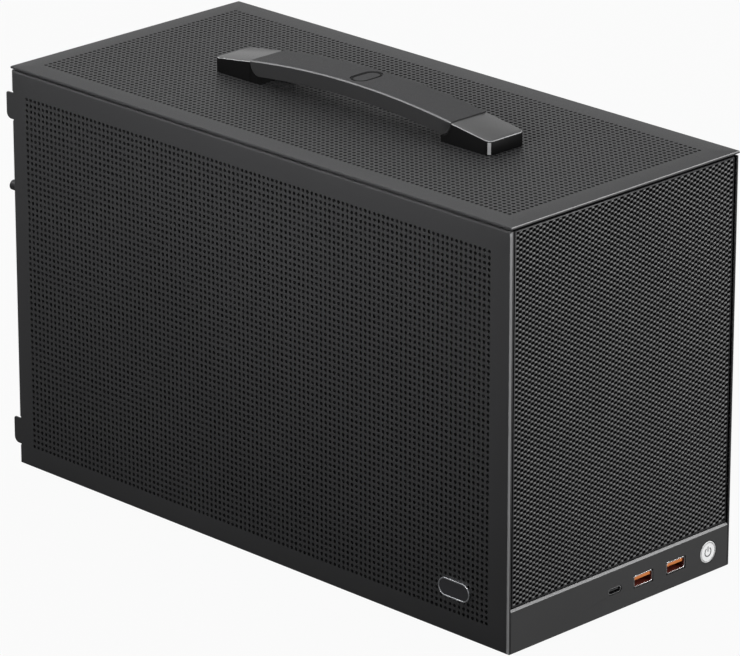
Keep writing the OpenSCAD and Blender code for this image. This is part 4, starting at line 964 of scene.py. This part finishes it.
def build_thumbscrews():
    """Round heads with grooves, one behind each side panel's notch."""
    for sign, side in ((-1, "left"), (1, "right")):
        x, z = sign * 72.9 * MM, NOTCH_Z
        start = HALF_D + BODY_Y
        head = rod_piece("thumbscrew_" + side, (x, start, z), (0, 5.2 * MM, 0), 2.6 * MM, 48)
        choose(head, "FACE", lambda c, n: n.y > 0.9)
        bpy.ops.mesh.inset(thickness=0.8 * MM)
        bpy.ops.mesh.extrude_region_move(TRANSFORM_OT_translate={"value": (0, -0.6 * MM, 0)})
        choose(head, "FACE", lambda c, n: abs(n.y) < 0.1 and math.hypot(c.x - x, c.z - z) > 2.4 * MM)
        done()
        for p in head.data.polygons:
            spoke = math.atan2(p.center.z - z, p.center.x - x) / math.tau * 48
            p.select = p.select and int(math.floor(spoke + 1000)) % 2 == 0
        edit()
        bpy.ops.mesh.inset(thickness=0.1 * MM, use_individual=True)
        bpy.ops.mesh.extrude_faces_move(TRANSFORM_OT_shrink_fatten={"value": -0.22 * MM})
        done()
        shank = rod_piece("thumbscrew_shank_" + side, (x, start - 2 * MM, z), (0, 2.05 * MM, 0), 1.5 * MM, 24)
        choose(shank, "EDGE", lambda a, b: max(a.y, b.y) < start - 1.9 * MM)
        bpy.ops.mesh.bevel(offset=0.3 * MM, segments=1)
        done()
        screw = join("thumbscrew_" + side, [head, shank])
        soften(screw, 30)
        fit_piece(screw, "chassis", "black_screw", screw_black, "thumbscrews")


build_sides()
build_nets()
build_lid()
build_front_mesh()
build_grip()
build_inlay()
build_caps()
build_large_ports()
build_strip()
build_button()
build_badge()
build_thumbscrews()

# ---- finishes of the pieces that come from the construction -----------------------------------------------

slot_finish = {
    "panel_steel": powder_coat, "mesh_steel": node_light_and_shade, "frame_steel": frame_paint, "strip_metal": strip_paint,
    "zinc_screw": zinc, "black_screw": screw_black, "brass_standoff": turned_brass, "clip_plastic": nylon,
    "black_plastic": moulded_black, "cap_plastic": cap_plastic, "button_white": button_white,
    "orange_plastic": tongue_orange, "port_shell": port_nickel, "board_green": board_green,
    "badge_metal": badge_rim, "grip_rubber": grip_rubber, "foot_rubber": foot_rubber,
}
for part in frame["record"]["subparts"]:
    node = frame["nodes"][part["node"]]
    paint(node, slot_finish[part["material_slot"]])

# ---- floor, light and camera ------------------------------------------------------------------------------

scene = bpy.context.scene
scene.view_settings.view_transform = "Standard"

bpy.ops.object.select_all(action="DESELECT")
bpy.ops.mesh.primitive_plane_add(size=12, location=(0, 0, -0.1 * MM))
floor = new_piece("floor")
pale = bpy.data.materials.new("pale_floor")
pale.use_nodes = True
tree = pale.node_tree
matt = tree.nodes["Principled BSDF"]
matt.inputs["Base Color"].default_value = (0.2, 0.2, 0.2, 1)
matt.inputs["Roughness"].default_value = 0.9
glow = tree.nodes.new("ShaderNodeEmission")
glow.inputs["Color"].default_value = (1, 1, 1, 1)
path = tree.nodes.new("ShaderNodeLightPath")
side = tree.nodes.new("ShaderNodeNewGeometry")
clear = tree.nodes.new("ShaderNodeBsdfTransparent")
# seen by the camera the floor is nearly white, and from below it lets the underside be seen
mostly = mix_shaders(tree, 0.95, matt.outputs["BSDF"], glow.outputs["Emission"])
seen = mix_shaders(tree, path.outputs["Is Camera Ray"], matt.outputs["BSDF"], mostly)
from_below = mix_shaders(tree, side.outputs["Backfacing"], seen, clear.outputs["BSDF"])
tree.links.new(from_below, tree.nodes["Material Output"].inputs["Surface"])
paint(floor, pale)

world = bpy.data.worlds.new("studio")
scene.world = world
world.use_nodes = True
tree = world.node_tree
back = tree.nodes["Background"]
back.inputs["Color"].default_value = (0.75, 0.76, 0.78, 1)
back.inputs["Strength"].default_value = 0.115
white = tree.nodes.new("ShaderNodeBackground")
white.inputs["Color"].default_value = (1, 1, 1, 1)
white.inputs["Strength"].default_value = 1.0
path = tree.nodes.new("ShaderNodeLightPath")
# all white for the camera, six tenths of it in reflections
share = maths(tree, "MULTIPLY_ADD", path.outputs["Is Glossy Ray"], 0.6, path.outputs["Is Camera Ray"])
mix = mix_shaders(tree, share, back.outputs["Background"], white.outputs["Background"])
tree.links.new(mix, tree.nodes["World Output"].inputs["Surface"])


def soft_light(name, place, target, size, power, spread_degrees=180):
    lamp = bpy.data.lights.new(name, "AREA")
    lamp.shape = "RECTANGLE"
    lamp.size, lamp.size_y = size
    lamp.energy = power
    lamp.spread = math.radians(spread_degrees)
    holder = bpy.data.objects.new(name, lamp)
    scene.collection.objects.link(holder)
    holder.location = place
    holder.rotation_euler = (Vector(target) - Vector(place)).to_track_quat("-Z", "Y").to_euler()


soft_light("top_box", (0.1, 0.5, 1.7), (0, 0, 0.2), (1.5, 1.5), 15)
soft_light("front_box", (0.95, -2.0, 0.32), (0, -0.1, 0.1), (0.8, 0.5), 35)
soft_light("left_box", (-1.2, -0.2, 0.75), (-0.08, 0, 0.51), (0.4, 0.4), 3.0, 50)
soft_light("front_edge_light", (1.45, -0.77, 1.45), (0, -0.1, 0.15), (0.6, 0.6), 9)
soft_light("left_edge_light", (-0.77, 1.45, 1.45), (0, 0, 0.2), (0.6, 0.6), 6.5)

PHOTO_WIDTH, FOCAL_PIXELS = 740, 5374.9
azimuth, elevation = math.radians(-44.967), math.radians(20.401)
to_eye = Vector((math.sin(azimuth) * math.cos(elevation), -math.cos(azimuth) * math.cos(elevation),
                 math.sin(elevation)))
across = Vector((math.cos(azimuth), math.sin(azimuth), 0))
upward = to_eye.cross(across)
middle = Vector((0, BODY_Y, (BASE_Z + TOP_Z) / 2))
eye = bpy.data.cameras.new("photo_camera")
eye.sensor_width = 36
eye.lens = eye.sensor_width * FOCAL_PIXELS / PHOTO_WIDTH
camera = bpy.data.objects.new("photo_camera", eye)
scene.collection.objects.link(camera)
camera.location = middle + to_eye * 2.616 + across * 1.673 * MM + upward * -7.584 * MM
camera.rotation_euler = Matrix((across, upward, to_eye)).transposed().to_euler()
eye.clip_start, eye.clip_end = 0.1, 30
scene.camera = camera
